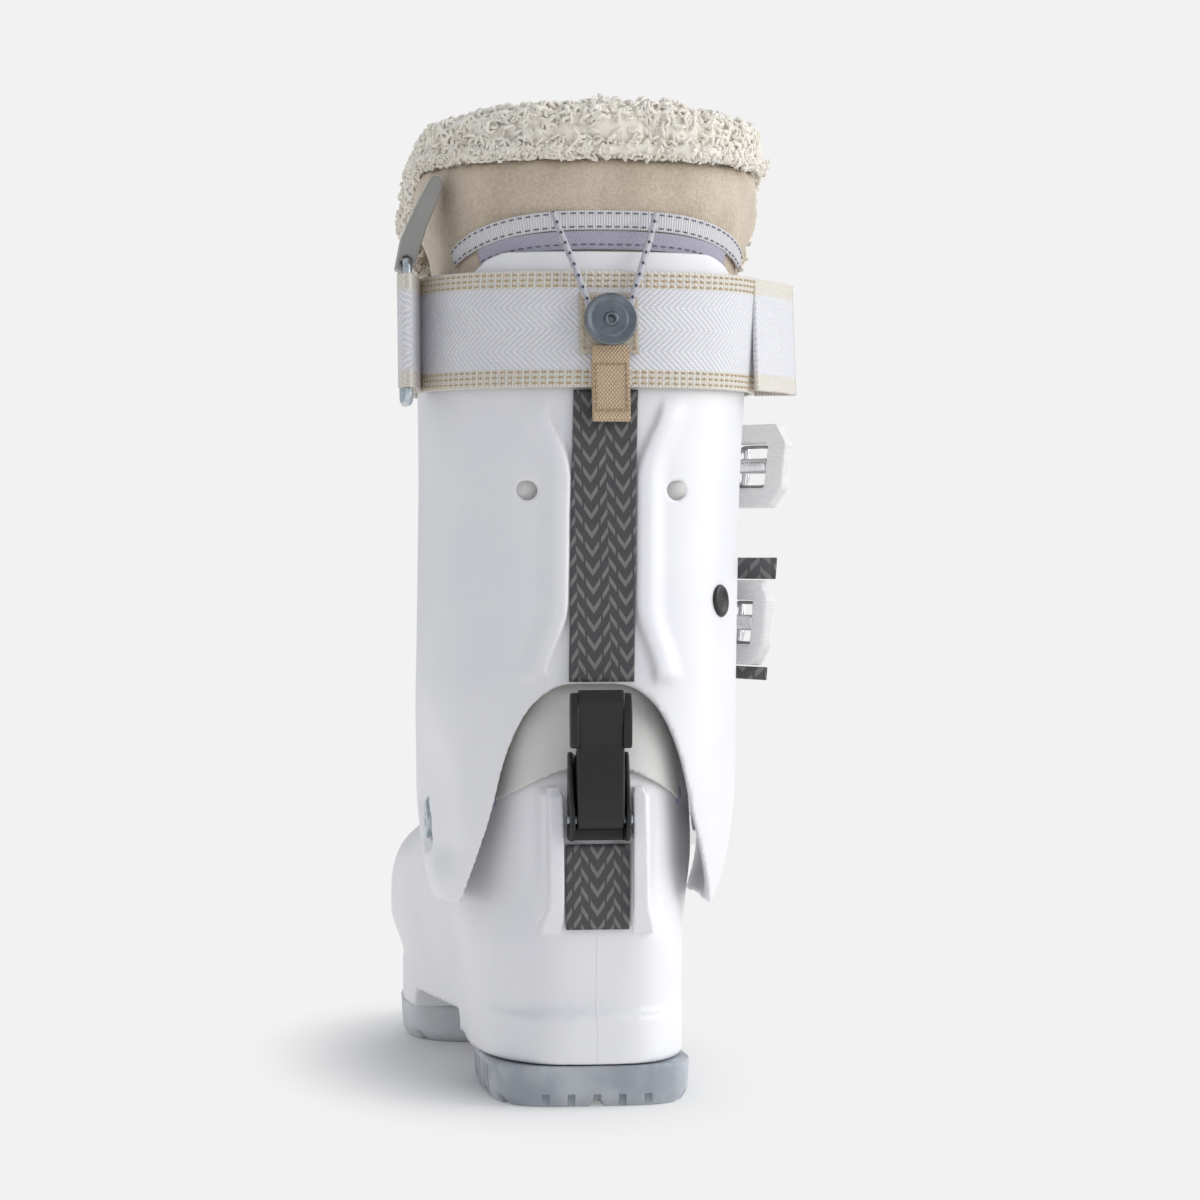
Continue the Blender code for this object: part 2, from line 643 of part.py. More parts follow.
def make_stud(cuff):
    middle = smooth(LEAN, STUD_Z)
    base, normal = rear_of(cuff, middle, STUD_Z)
    normal = Vector((0, normal.y, normal.z)).normalized()
    up = Vector((0, -normal.z, normal.y)) * -1
    side = Vector((1, 0, 0))
    strap_face = STRAP_LIFT + STRAP_THICK
    patch = [(-10, -10.5), (10, -10.5), (10, 10.5), (-10, 10.5)]
    patch = prism(patch, base, side, up, normal, strap_face + 0.6, strap_face + 1.4)
    finish_mesh("strap_patch", patch, "tan_web")
    foot = strap_face + 1.4 + GAP
    profile = ((foot, 3.6), (foot + 3.4, 3.6), (foot + 3.4, 8.6), (foot + 4.4, 9.0), (foot + 5.6, 8.8),
               (foot + 5.2, 6.4), (foot + 4.8, 2.2), (foot + 6.0, 2.0), (foot + 6.0, 1.1), (foot + 4.8, 1.0))
    rings = []
    for height, radius in profile:
        rings.append([base + normal * height + side * radius * math.cos(a) + up * radius * math.sin(a)
                      for a in even_angles(28)])
    finish_mesh("cord_stud", loft(rings), "zinc")

    tab_low = base - up * 33
    tab = [(-6.4, 0), (6.4, 0), (6.4, 20.5), (-6.4, 20.5)]
    tab = prism(tab, tab_low, side, up, normal, strap_face + 0.8, strap_face + 3.0)
    finish_mesh("pull_tab", tab, "tan_web")

    # The cord leaves the liner's tape, passes over the cuff's edge and loops under the stud.
    neck = foot + 1.7
    route = []
    for x, rise, lift in ((-17.5, 39, 1.2), (-15.8, 33, 2.4), (-13.6, 26, 4.4), (-11.0, 18, neck - 0.6),
                          (-7.4, 7, neck), (-5.6, 0, neck), (-4.0, -3.9, neck), (0, -5.6, neck)):
        route.append(base + side * x + up * rise + normal * lift)
    route += [Vector((2 * middle - point.x, point.y, point.z)) for point in reversed(route[:-1])]
    wire("cord_loop", route, 1.1, "cord")


def make_strap_hardware():
    """The ring at the strap's medial end and the cam lever that closes on it."""
    x = RING_HINGE.x
    low = STRAP_LOW - 3.4
    corners = [(x, 52, low), (x, 74, low), (x, 81, RING_TOP), (x, 59, RING_TOP)]
    wire("strap_ring", rounded(corners, 4.5), RING_WIRE, "zinc", cyclic=True, origin=RING_HINGE)
    side_view = [(-3.4, -2.4), (-1.4, -3.6), (1.8, -3.4), (3.6, 0.4), (7.2, 12), (11.0, 21), (12.8, 27),
                 (11.6, 29.4), (9.0, 29.4), (4.0, 20), (-1.4, 8)]
    lever = prism(side_view, Vector((x, 0, RING_TOP)), Vector((1, 0, 0)), Vector((0, 0, 1)), Vector((0, 1, 0)),
                  64, 76)
    lever = finish_mesh("strap_cam_lever", lever, "grey_plastic", origin=CAM_HINGE)
    bore = cylinder((x, 40, RING_TOP), (x, 100, RING_TOP), RING_WIRE + GAP, 16)
    boolean(lever, finish_mesh("strap_cam_bore", bore, None))


# Liner

def liner_ring(z, angles):
    half = smooth(LINER_HALF, z)
    ring = outline_ring(z, smooth(LINER_REAR, z), smooth(LINER_FRONT, z), lambda y, s: half, 0.84, angles)
    return leaning(ring)


def make_liner():
    levels = (LINER_LOW, 180, 210, 240, 265, 284, 292, 300, 310, LINER_TOP)
    angles = even_angles(32)
    outer = [liner_ring(z, angles) for z in levels]
    inner = [shrunk(ring, LINER_WALL) for ring in reversed(outer)]
    liner = finish_mesh("liner_cuff", loft(outer + inner, closed=True), "suede")
    boolean(liner, finish_mesh("liner_front_gap", box((-20, 110, 130), (34, 210, 340)), None))

    points, normals = [], []
    for z in (160, 190, 220, 250, 280, 316):
        points.append(Vector((7.0, smooth(LINER_FRONT, z) - 17.0, z)))
        normals.append(Vector((0, 1, 0)))
    tongue = ribbon(points, normals, 49, 6.0, lift=0, across=Vector((1, 0, 0)))
    finish_mesh("liner_tongue", tongue, "suede")
    return Surface(outer)


def make_liner_trim(liner):
    """The ribbed tape that arches over the cuff's edge, and the woven band under it."""
    for name, top, width, reach, radius, fall in (("liner_tape", 297.5, 6.4, 48, 51, 20),
                                                  ("liner_mesh", 290.2, 5.6, 36, 44, 12)):
        points, normals = [], []
        for i in range(27):
            x = -reach + 2 * reach * i / 26
            drop = fall * (1 - (1 - (abs(x) / radius) ** 2.8) ** (1 / 2.8))
            point, normal = rear_of(liner, x + smooth(LEAN, top), top - width / 2 - drop)
            points.append(point)
            normals.append(normal)
        finish_mesh(name, ribbon(points, normals, width, 0.8, lift=0.8), "tape")


def make_fur():
    """A thick soft roll round the liner's top, which hangs lower and fuller round the front half."""
    rear = smooth(LINER_REAR, LINER_TOP)
    front = smooth(LINER_FRONT, LINER_TOP)
    half = smooth(LINER_HALF, LINER_TOP)
    sections = []
    for angle in even_angles(30):
        c = math.cos(angle)
        s = math.sin(angle)
        outward = Vector((s, -c, 0))
        rim_y = (front + rear) / 2 - (front - rear) / 2 * math.copysign(abs(c) ** 0.84, c)
        rim = Vector((math.copysign(abs(s) ** 0.84, s) * half + smooth(LEAN, LINER_TOP), rim_y, 0))
        hang = fade(-c, -0.15, 0.45)
        out = 2.5 + 6 * hang
        low = LINER_TOP - 1.0 - 32.0 * hang
        shelf = LINER_TOP + 0.7
        top = 337 - 5 * abs(s)
        profile = ((-11, shelf), (-12.5, shelf + 8), (-8, top - 3), (-4, top), (-1.5 * hang, top - 3),
                   (2.5 + 2.5 * hang, (top + low) / 2 + 4), (out, low + 4 + 9 * hang), (out - 1.8, low),
                   (1.0, low + 1), (1.2, shelf))
        sections.append([rim + outward * reach + Vector((0, 0, z)) for reach, z in profile])
    finish_mesh("fur_collar", loft(sections, closed=True), "fur")


# Buckles

class Place:
    """A spot on a body: n points out of it, t runs round it towards the lever, w is the width."""

    def __init__(self, surface, centre, u, v, degrees):
        self.surface = surface
        self.centre = Vector(centre)
        self.u = Vector(u)
        self.v = Vector(v)
        self.degrees = degrees
        self.origin, normal = self.at(degrees)
        along = self.u.cross(self.v).normalized()
        self.n = normal
        self.w = (along - normal * along.dot(normal)).normalized()
        self.t = self.n.cross(self.w).normalized()
        if self.t.dot(self.at(degrees - 5)[0] - self.origin) < 0:
            self.t = -self.t

    def at(self, degrees):
        angle = math.radians(degrees)
        return self.surface.towards(self.centre, self.u * math.cos(angle) + self.v * math.sin(angle))

    def over(self, degrees, height, across):
        """A point above the surface, beside the middle of the width."""
        along = self.u.cross(self.v).normalized()
        if along.dot(self.w) < 0:
            along = -along
        angle = math.radians(degrees)
        point, normal = self.surface.towards(self.centre + along * across,
                                             self.u * math.cos(angle) + self.v * math.sin(angle))
        return point + normal * height

    def spot(self, t, n, w=0.0):
        return self.origin + self.t * t + self.n * n + self.w * w


def pin_of(place):
    return place.spot(-7.0, 7.4)


def bail_hinge_of(place):
    return place.spot(BAIL_ALONG, BAIL_HEIGHT)


def make_buckle(name, place, ladder_from, ladder_to):
    pin = pin_of(place)

    channel = [(-12.2, 1.6), (12.2, 1.6), (12.2, 10), (10.2, 10), (10.2, 3.2), (-10.2, 3.2), (-10.2, 10),
               (-12.2, 10)]
    base = prism(channel, place.origin, place.w, place.n, place.t, -12, 5)
    base = finish_mesh(f"{name}_base", base, "white_lever")
    bore = cylinder(pin - place.w * 20, pin + place.w * 20, PIN_RADIUS + GAP, 16)
    boolean(base, finish_mesh(f"{name}_base_bore", bore, None))
    finish_mesh(f"{name}_pin", cylinder(pin - place.w * 12.6, pin + place.w * 12.6, PIN_RADIUS, 16), "zinc")

    outline = [(-10, -9.6), (8, -9.6), (13, -15), (36, -15), (42, -8), (42, 8), (36, 15), (13, 15), (8, 9.6),
               (-10, 9.6)]
    lever = prism(outline, place.origin, place.t, place.w, place.n, 5.2, 9.4)
    lever = finish_mesh(f"{name}_lever", lever, "white_lever", origin=pin)
    window = prism([(13, -8), (33, -8), (33, 8), (13, 8)], place.origin, place.t, place.w, place.n, 0, 20)
    boolean(lever, finish_mesh(f"{name}_lever_window", window, None))
    bore = cylinder(pin - place.w * 20, pin + place.w * 20, PIN_RADIUS + GAP, 16)
    boolean(lever, finish_mesh(f"{name}_lever_bore", bore, None))

    corners = []
    for w in (-BAIL_HALF, BAIL_HALF):
        run = [place.spot(BAIL_ALONG, BAIL_HEIGHT, w), place.spot(-13, BAIL_HEIGHT, w)]
        first = place.degrees + 20
        for step in range(3):
            run.append(place.over(first + (ladder_from + 9 - first) * step / 2, 6.8, w))
        corners += run if w < 0 else run[::-1]
    wire(f"{name}_bail", rounded(corners, 3.0, steps=2), BAIL_WIRE, "chrome", cyclic=True,
         origin=bail_hinge_of(place))

    points, normals, thick = [], [], []
    count = 18
    for i in range(count):
        point, normal = place.at(ladder_from + (ladder_to - ladder_from) * i / (count - 1))
        points.append(point)
        normals.append(normal)
        thick.append(3.4 if i % 4 in (1, 2) and i < 14 else 2.2)
    finish_mesh(f"{name}_ladder", ribbon(points, normals, 9.0, thick, lift=1.2), "chrome")


def buckle_places(shell, cuff):
    """Two buckles on the cuff and two over the instep and the toes."""
    side = Vector((1, 0, 0))
    ahead = Vector((0, 1, 0))
    up = Vector((0, 0, 1))
    return [Place(cuff, (5, 90, 214), side, ahead, 42), Place(cuff, (3, 80, 158), side, ahead, 42),
            Place(shell, (0, 170, 48), side, up, 58), Place(shell, (0, 210, 38), side, up, 58)]


clear_scene()
PARTS = new_collection("ski_boot")
CUTTERS = new_collection("cutters")
shell_surface = make_shell()
make_sole("heel_sole", 0.5, 96, True)
make_sole("toe_sole", 174, SOLE_LENGTH - 0.5, False)
make_foot_inner()
cuff_surface = make_cuff()
make_rivets()
make_strips(cuff_surface)
make_gasket()
make_spine_lever()
make_strap(cuff_surface)
make_stud(cuff_surface)
make_strap_hardware()
liner_surface = make_liner()
make_liner_trim(liner_surface)
make_fur()
PLACES = buckle_places(shell_surface, cuff_surface)
for number, (spot, span) in enumerate(zip(PLACES, LADDER_SPANS), 1):
    make_buckle(f"buckle_{number}", spot, *span)
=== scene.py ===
"""The looks of the ski boot: fine shells, soft liner, fur, webbing, stitching and materials.

Lengths are millimetres in the boot's own layout (x to the lateral side, y from the heel to the
toe, z up) until a mesh is made. Then they become metres in the frame's own coordinates.
"""

import json
import math

import bmesh
import bpy
import numpy as np
from mathutils import Matrix, Vector, noise
from mathutils.bvhtree import BVHTree


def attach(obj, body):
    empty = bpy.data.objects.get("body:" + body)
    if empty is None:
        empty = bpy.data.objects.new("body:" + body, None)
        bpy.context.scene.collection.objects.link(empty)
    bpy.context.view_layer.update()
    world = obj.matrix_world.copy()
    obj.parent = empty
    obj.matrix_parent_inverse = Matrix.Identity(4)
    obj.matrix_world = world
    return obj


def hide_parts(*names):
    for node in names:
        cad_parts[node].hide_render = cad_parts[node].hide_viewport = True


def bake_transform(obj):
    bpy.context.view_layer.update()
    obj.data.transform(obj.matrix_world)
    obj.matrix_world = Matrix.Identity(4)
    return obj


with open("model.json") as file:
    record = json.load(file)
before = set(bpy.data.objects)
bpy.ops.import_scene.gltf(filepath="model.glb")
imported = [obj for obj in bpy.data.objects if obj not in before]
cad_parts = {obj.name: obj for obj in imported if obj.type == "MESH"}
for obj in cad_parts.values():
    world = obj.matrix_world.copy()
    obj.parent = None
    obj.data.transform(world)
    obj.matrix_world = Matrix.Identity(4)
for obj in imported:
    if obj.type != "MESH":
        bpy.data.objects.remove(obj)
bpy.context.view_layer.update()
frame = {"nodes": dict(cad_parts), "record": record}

MM = 0.001
PIVOT = Vector((0.0, 80.0, 90.0))
JOINTS = {joint["name"]: joint for joint in frame["record"]["behaviour"]["joints"]}
FRAME = Vector(JOINTS["cuff_flex"]["pos_m"]) / MM - PIVOT
RNG = np.random.default_rng(7)
WOOL_LOOPS = 5200

SHELL_WALL = 4.5
SHELL_TOP = 128.0
CUFF_WALL = 4.0
CUFF_TOP = 281.0
SPINE_LOW = 139.0
STRIP_HALF = 10.8
LINER_LOW = 156.0
LINER_TOP = 318.0
FUR_TOP = 337.0
STRAP_LOW = 237.0
STRAP_HIGH = 277.0
STRAP_WIDTH = STRAP_HIGH - STRAP_LOW
STRAP_MIDDLE = (STRAP_LOW + STRAP_HIGH) / 2
STRAP_LIFT = 1.6
STRAP_THICK = 1.8
STRAP_FACE = STRAP_LIFT + STRAP_THICK
STUD_Z = 258.0
HEEL_HALF = 34.5
HOLE_Z = 203
HOLES = ((-20.5, "left"), (29.5, "right"))
SIDES = ((-1, "left"), (1, "right"))

# How square each outline is: 1 is an ellipse, less is squarer.
SHELL_BLUNT = 0.72
CUFF_BLUNT = 0.82
LINER_BLUNT = 0.84

# The boot's outlines, as in the model that this script dresses.
SHELL_REAR = ((14, 0), (29.5, 0), (31, 4.0), (45, 2.4), (60, 1.4), (80, 1.6), (100, 4), (115, 9),
              (128, 15))
SHELL_FRONT = ((14, 286), (30, 286), (30.6, 270), (45, 269), (58, 262), (68, 246), (76, 224),
               (84, 196), (92, 170), (100, 150), (110, 138), (120, 129), (128, 123))
LOW_LATERAL = ((0, 34.5), (30, 37), (50, 37), (90, 36.5), (130, 39), (165, 44), (200, 46), (240, 44),
               (286, 36))
LOW_MEDIAL = ((0, 34.5), (30, 38), (50, 38), (90, 36), (130, 39), (165, 45), (200, 48), (240, 45),
              (286, 36))
SHELL_LATERAL = ((0, 34.5), (40, 37), (80, 43), (115, 43), (160, 47), (200, 48), (240, 45), (286, 36))
SHELL_MEDIAL = ((0, 34.5), (40, 37), (80, 43), (115, 42), (160, 47), (200, 50), (240, 45), (286, 36))
CUFF_REAR = ((64, 3), (100, 3.5), (137, 7), (170, 12), (200, 18), (240, 25.5), (284, 34))
CUFF_FRONT = ((64, 140), (100, 146), (137, 150), (170, 154), (200, 158), (240, 163), (284, 170))
CUFF_HALF = ((64, 47.5), (76, 51.2), (90, 53.6), (104, 54.5), (137, 54.5), (200, 55), (240, 56.5),
             (284, 58.5))
LEAN = ((64, 0), (120, 1.5), (180, 3.5), (240, 6), (285, 8.5), (320, 10), (340, 10.5))
LINER_REAR = ((150, 13.8), (200, 22.8), (240, 30.3), (284, 38.8), (300, 40), (318, 43))
LINER_FRONT = ((150, 146.2), (200, 153.2), (240, 158.2), (284, 165.2), (300, 172), (318, 178))
LINER_HALF = ((150, 49.6), (200, 50.2), (240, 51.7), (284, 53.7), (300, 58), (318, 59))


# Numbers and outlines

def smooth(table, value):
    """A smooth curve through (key, value) pairs that doesn't overshoot them."""
    keys = [key for key, _ in table]
    values = [number for _, number in table]
    if value <= keys[0]:
        return float(values[0])
    if value >= keys[-1]:
        return float(values[-1])
    slopes = [(b - a) / (q - p) for a, b, p, q in zip(values, values[1:], keys, keys[1:])]
    bends = [slopes[0]]
    for before, after in zip(slopes, slopes[1:]):
        bends.append(0.0 if before * after <= 0 else 2 * before * after / (before + after))
    bends.append(slopes[-1])
    place = max(i for i, key in enumerate(keys[:-1]) if key <= value)
    step = keys[place + 1] - keys[place]
    t = (value - keys[place]) / step
    return float((2 * t**3 - 3 * t**2 + 1) * values[place] + (t**3 - 2 * t**2 + t) * step * bends[place]
                 + (3 * t**2 - 2 * t**3) * values[place + 1] + (t**3 - t**2) * step * bends[place + 1])


def fade(value, low, high):
    """0 below low, 1 above high, smooth between them."""
    t = min(max((value - low) / (high - low), 0.0), 1.0)
    return t * t * (3 - 2 * t)


def signed_power(value, power):
    """A power that keeps the sign of its value."""
    return math.copysign(abs(value) ** power, value)


def outline_ring(z, rear, front, width, blunt, angles):
    """A closed ring seen from above, from the rear round the lateral side to the front and back."""
    middle = (rear + front) / 2
    half = (front - rear) / 2
    points = []
    for angle in angles:
        s = math.sin(angle)
        y = middle - half * signed_power(math.cos(angle), blunt)
        points.append(Vector((signed_power(s, blunt) * width(y, s), y, z)))
    return points


def even_angles(count):
    """Angles in even steps round a circle."""
    return [2 * math.pi * i / count for i in range(count)]


def fine_angles(reach, half_width, blunt, rear_count, side_count):
    """Ring angles that are dense across the back, where the ridges are."""
    half = []
    for i in range(rear_count):
        x = reach * i / (rear_count - 1)
        half.append(math.asin((x / half_width) ** (1 / blunt)) if x else 0.0)
    last = half[-1]
    half += [last + (math.pi - last) * (i + 1) / side_count for i in range(side_count)]
    return half + [2 * math.pi - angle for angle in half[-2:0:-1]]


def shrunk(ring, wall):
    """The ring moved inwards by a wall."""
    count = len(ring)
    moved = []
    for i, point in enumerate(ring):
        along = ring[(i + 1) % count] - ring[i - 1]
        moved.append(point + Vector((-along.y, along.x, 0)).normalized() * wall)
    return moved


def leaning(ring):
    """The ring moved sideways by the lean that it has at its height."""
    return [Vector((point.x + smooth(LEAN, point.z), point.y, point.z)) for point in ring]


def levels(*stops):
    """Heights from (from, to, count) runs."""
    made = []
    for low, high, count in stops:
        made += [low + (high - low) * i / count for i in range(count)]
    return made + [stops[-1][1]]


# Objects

def to_world(point):
    """From the boot's layout in millimetres to the frame in metres."""
    return (Vector(point) + FRAME) * MM


def add_mesh(name, points, faces, uvs=None):
    mesh = bpy.data.meshes.new(name)
    mesh.from_pydata([to_world(point) for point in points], [], faces)
    if uvs:
        layer = mesh.uv_layers.new(name="along")
        for loop in mesh.loops:
            layer.data[loop.index].uv = uvs[loop.vertex_index]
    mesh.update()
    made = bpy.data.objects.new(name, mesh)
    bpy.context.scene.collection.objects.link(made)
    bm = bmesh.new()
    bm.from_mesh(mesh)
    bmesh.ops.recalc_face_normals(bm, faces=bm.faces)
    bm.to_mesh(mesh)
    bm.free()
    mesh.shade_smooth()
    return made


def ring_faces(rows, count, start=0, closed=False):
    """The four-sided faces between rows of points. Each row is closed on itself."""
    faces = []
    for row in range(rows if closed else rows - 1):
        below = start + row * count
        above = start + (row + 1) % rows * count
        for i in range(count):
            j = (i + 1) % count
            faces.append((below + i, below + j, above + j, above + i))
    return faces


def end_faces(rows, count, start=0):
    """The two flat ends of the rows."""
    last = start + (rows - 1) * count
    return [tuple(range(start, start + count))[::-1], tuple(range(last, last + count))]


def loft(name, rings, closed=False, uvs=None):
    """A skin over rings of points, with flat ends unless the rings close up."""
    faces = ring_faces(len(rings), len(rings[0]), closed=closed)
    if not closed:
        faces += end_faces(len(rings), len(rings[0]))
    return add_mesh(name, [point for ring in rings for point in ring], faces, uvs)


def box(name, low, high):
    """A block between two corners."""
    x0, y0, z0 = low
    x1, y1, z1 = high
    ring = [(x0, y0), (x1, y0), (x1, y1), (x0, y1)]
    return loft(name, [[Vector((x, y, z)) for x, y in ring] for z in (z0, z1)])


def bake(piece, *changes):
    """Adds modifiers, each a (type, settings) pair, and keeps their result as the piece's mesh."""
    for kind, settings in changes:
        modifier = piece.modifiers.new(kind, kind)
        for key, value in settings.items():
            setattr(modifier, key, value)
    evaluated = piece.evaluated_get(bpy.context.evaluated_depsgraph_get())
    mesh = bpy.data.meshes.new_from_object(evaluated)
    old = piece.data
    piece.modifiers.clear()
    piece.data = mesh
    if old.users == 0:
        bpy.data.meshes.remove(old)
    mesh.shade_smooth()
    return piece


def cut(piece, cutters):
    """Takes the cutters out of the piece and deletes them."""
    bake(piece, *[("BOOLEAN", {"object": cutter, "operation": "DIFFERENCE"}) for cutter in cutters])
    for cutter in cutters:
        bpy.data.objects.remove(cutter, do_unlink=True)
    return piece


def remesh(piece, voxel_mm, rounds):
    """Evens out the mesh and rounds its edges."""
    return bake(piece, ("REMESH", {"mode": "VOXEL", "voxel_size": voxel_mm * MM, "use_smooth_shade": True}),
                ("SMOOTH", {"factor": 0.5, "iterations": rounds}))


def refined(node, voxel_mm, rounds):
    """A copy of a CAD node with its edges rounded and its faces smoothed, standing for the node."""
    source = frame["nodes"][node]
    piece = bpy.data.objects.new(f"{node}_fine", source.data.copy())
    piece.data.materials.clear()
    bpy.context.scene.collection.objects.link(piece)
    remesh(piece, voxel_mm, rounds)
    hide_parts(node)
    return piece


def node_body(node):
    """The body that a CAD node belongs to."""
    for body, nodes in frame["record"]["behaviour"]["bodies"].items():
        if node in nodes:
            return body
    raise KeyError(node)


def dress(piece, look, body=None):
    """Gives a piece its look, and the body that it rides where one is named."""
    piece.data.materials.clear()
    piece.data.materials.append(LOOKS[look])
    if body:
        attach(piece, body)
    return piece


def tube_path(points, radius, sides=12, closed=False):
    """Rings round a path, and the length along it at each ring."""
    count = len(points)
    rings = []
    lengths = []
    length = 0.0
    side = None
    for i, point in enumerate(points):
        before = points[i - 1] if i or closed else points[0]
        after = points[(i + 1) % count] if i < count - 1 or closed else points[-1]
        along = (after - before).normalized()
        if side is None:
            side = along.orthogonal().normalized()
        side = (side - along * side.dot(along)).normalized()
        up = along.cross(side)
        if i:
            length += (point - points[i - 1]).length
        size = radius(i / (count - 1)) if callable(radius) else radius
        rings.append([point + (side * math.cos(a) + up * math.sin(a)) * size for a in even_angles(sides)])
        lengths.append(length)
    return rings, lengths


def tube(name, points, radius, sides=12, closed=False):
    """A round cord, wire or bar along points. Its radius may change along the way."""
    rings, lengths = tube_path([Vector(p) for p in points], radius, sides, closed)
    uvs = [(length / 10, j / sides) for length in lengths for j in range(sides)]
    return loft(name, rings, closed, uvs=uvs)


def curve_through(points, steps, closed=False):
    """A smooth line through points (a Catmull-Rom curve)."""
    points = [Vector(point) for point in points]
    count = len(points)
    made = []
    for i in range(count if closed else count - 1):
        p0 = points[i - 1] if i or closed else points[0]
        p1 = points[i]
        p2 = points[(i + 1) % count]
        p3 = points[(i + 2) % count] if closed or i + 2 < count else points[-1]
        for k in range(steps):
            t = k / steps
            made.append(0.5 * (2 * p1 + (p2 - p0) * t + (2 * p0 - 5 * p1 + 4 * p2 - p3) * t**2
                               + (3 * p1 - p0 - 3 * p2 + p3) * t**3))
    if not closed:
        made.append(points[-1])
    return made


def band(name, points, normals, across, width, thickness, lift, edge=0.35):
    """A flat woven band with rounded edges, with uv in centimetres along and across."""
    rings = []
    uvs = []
    length = 0.0
    half = width / 2
    profile = [(-half, 0.0), (-half + edge, 0.0), (half - edge, 0.0), (half, 0.0),
               (half + 0.1, thickness / 2), (half, thickness), (half - edge, thickness),
               (-half + edge, thickness), (-half, thickness), (-half - 0.1, thickness / 2)]
    for i, (point, normal) in enumerate(zip(points, normals)):
        if i:
            length += (point - points[i - 1]).length
        side = across[i] if isinstance(across, list) else across
        rings.append([point + side * a + normal * (lift + b) for a, b in profile])
        uvs += [(length / 10, a / 10) for a, _ in profile]
    return loft(name, rings, uvs=uvs)


def directions(path):
    """The direction of travel at each point of a path."""
    last = len(path) - 1
    return [(path[min(i + 1, last)] - path[max(i - 1, 0)]).normalized() for i in range(last + 1)]


def scattered(name, places, length, radius, sides=6):
    """Many small rounded stitches in one piece. Each place is (point, direction, normal)."""
    shape = ((-1.0, 0.35), (-0.8, 1.0), (0.0, 1.0), (0.8, 1.0), (1.0, 0.35))
    points = []
    faces = []
    for point, along, normal in places:
        side = along.cross(normal).normalized()
        start = len(points)
        for t, size in shape:
            for a in even_angles(sides):
                points.append(point + along * (t * length / 2)
                              + (side * math.cos(a) + normal * math.sin(a)) * radius * size)
        faces += ring_faces(len(shape), sides, start) + end_faces(len(shape), sides, start)
    return add_mesh(name, points, faces)


def turned(profile, base, normal, side, up, count):
    """Rings of a turned shape, one for each (height along the normal, radius)."""
    rings = []
    for height, radius in profile:
        rings.append([base + normal * height + (side * math.cos(a) + up * math.sin(a)) * radius
                      for a in even_angles(count)])
    return rings


class Surface:
    """The outside of a row of rings, asked for the point that a ray from outside meets."""

    REACH = 300.0

    def __init__(self, rings):
        points = [point for ring in rings for point in ring]
        self.tree = BVHTree.FromPolygons(points, ring_faces(len(rings), len(rings[0])))

    def towards(self, centre, direction):
        direction = Vector(direction).normalized()
        start = Vector(centre) + direction * self.REACH
        point, normal, _, _ = self.tree.ray_cast(start, -direction)
        if normal.dot(direction) < 0:
            normal = -normal
        return point, normal

    def behind(self, x, z):
        """The point of the boot's rear side at a place, with its normal."""
        return self.towards((x, 60, z), (0, -1, 0))


# Materials

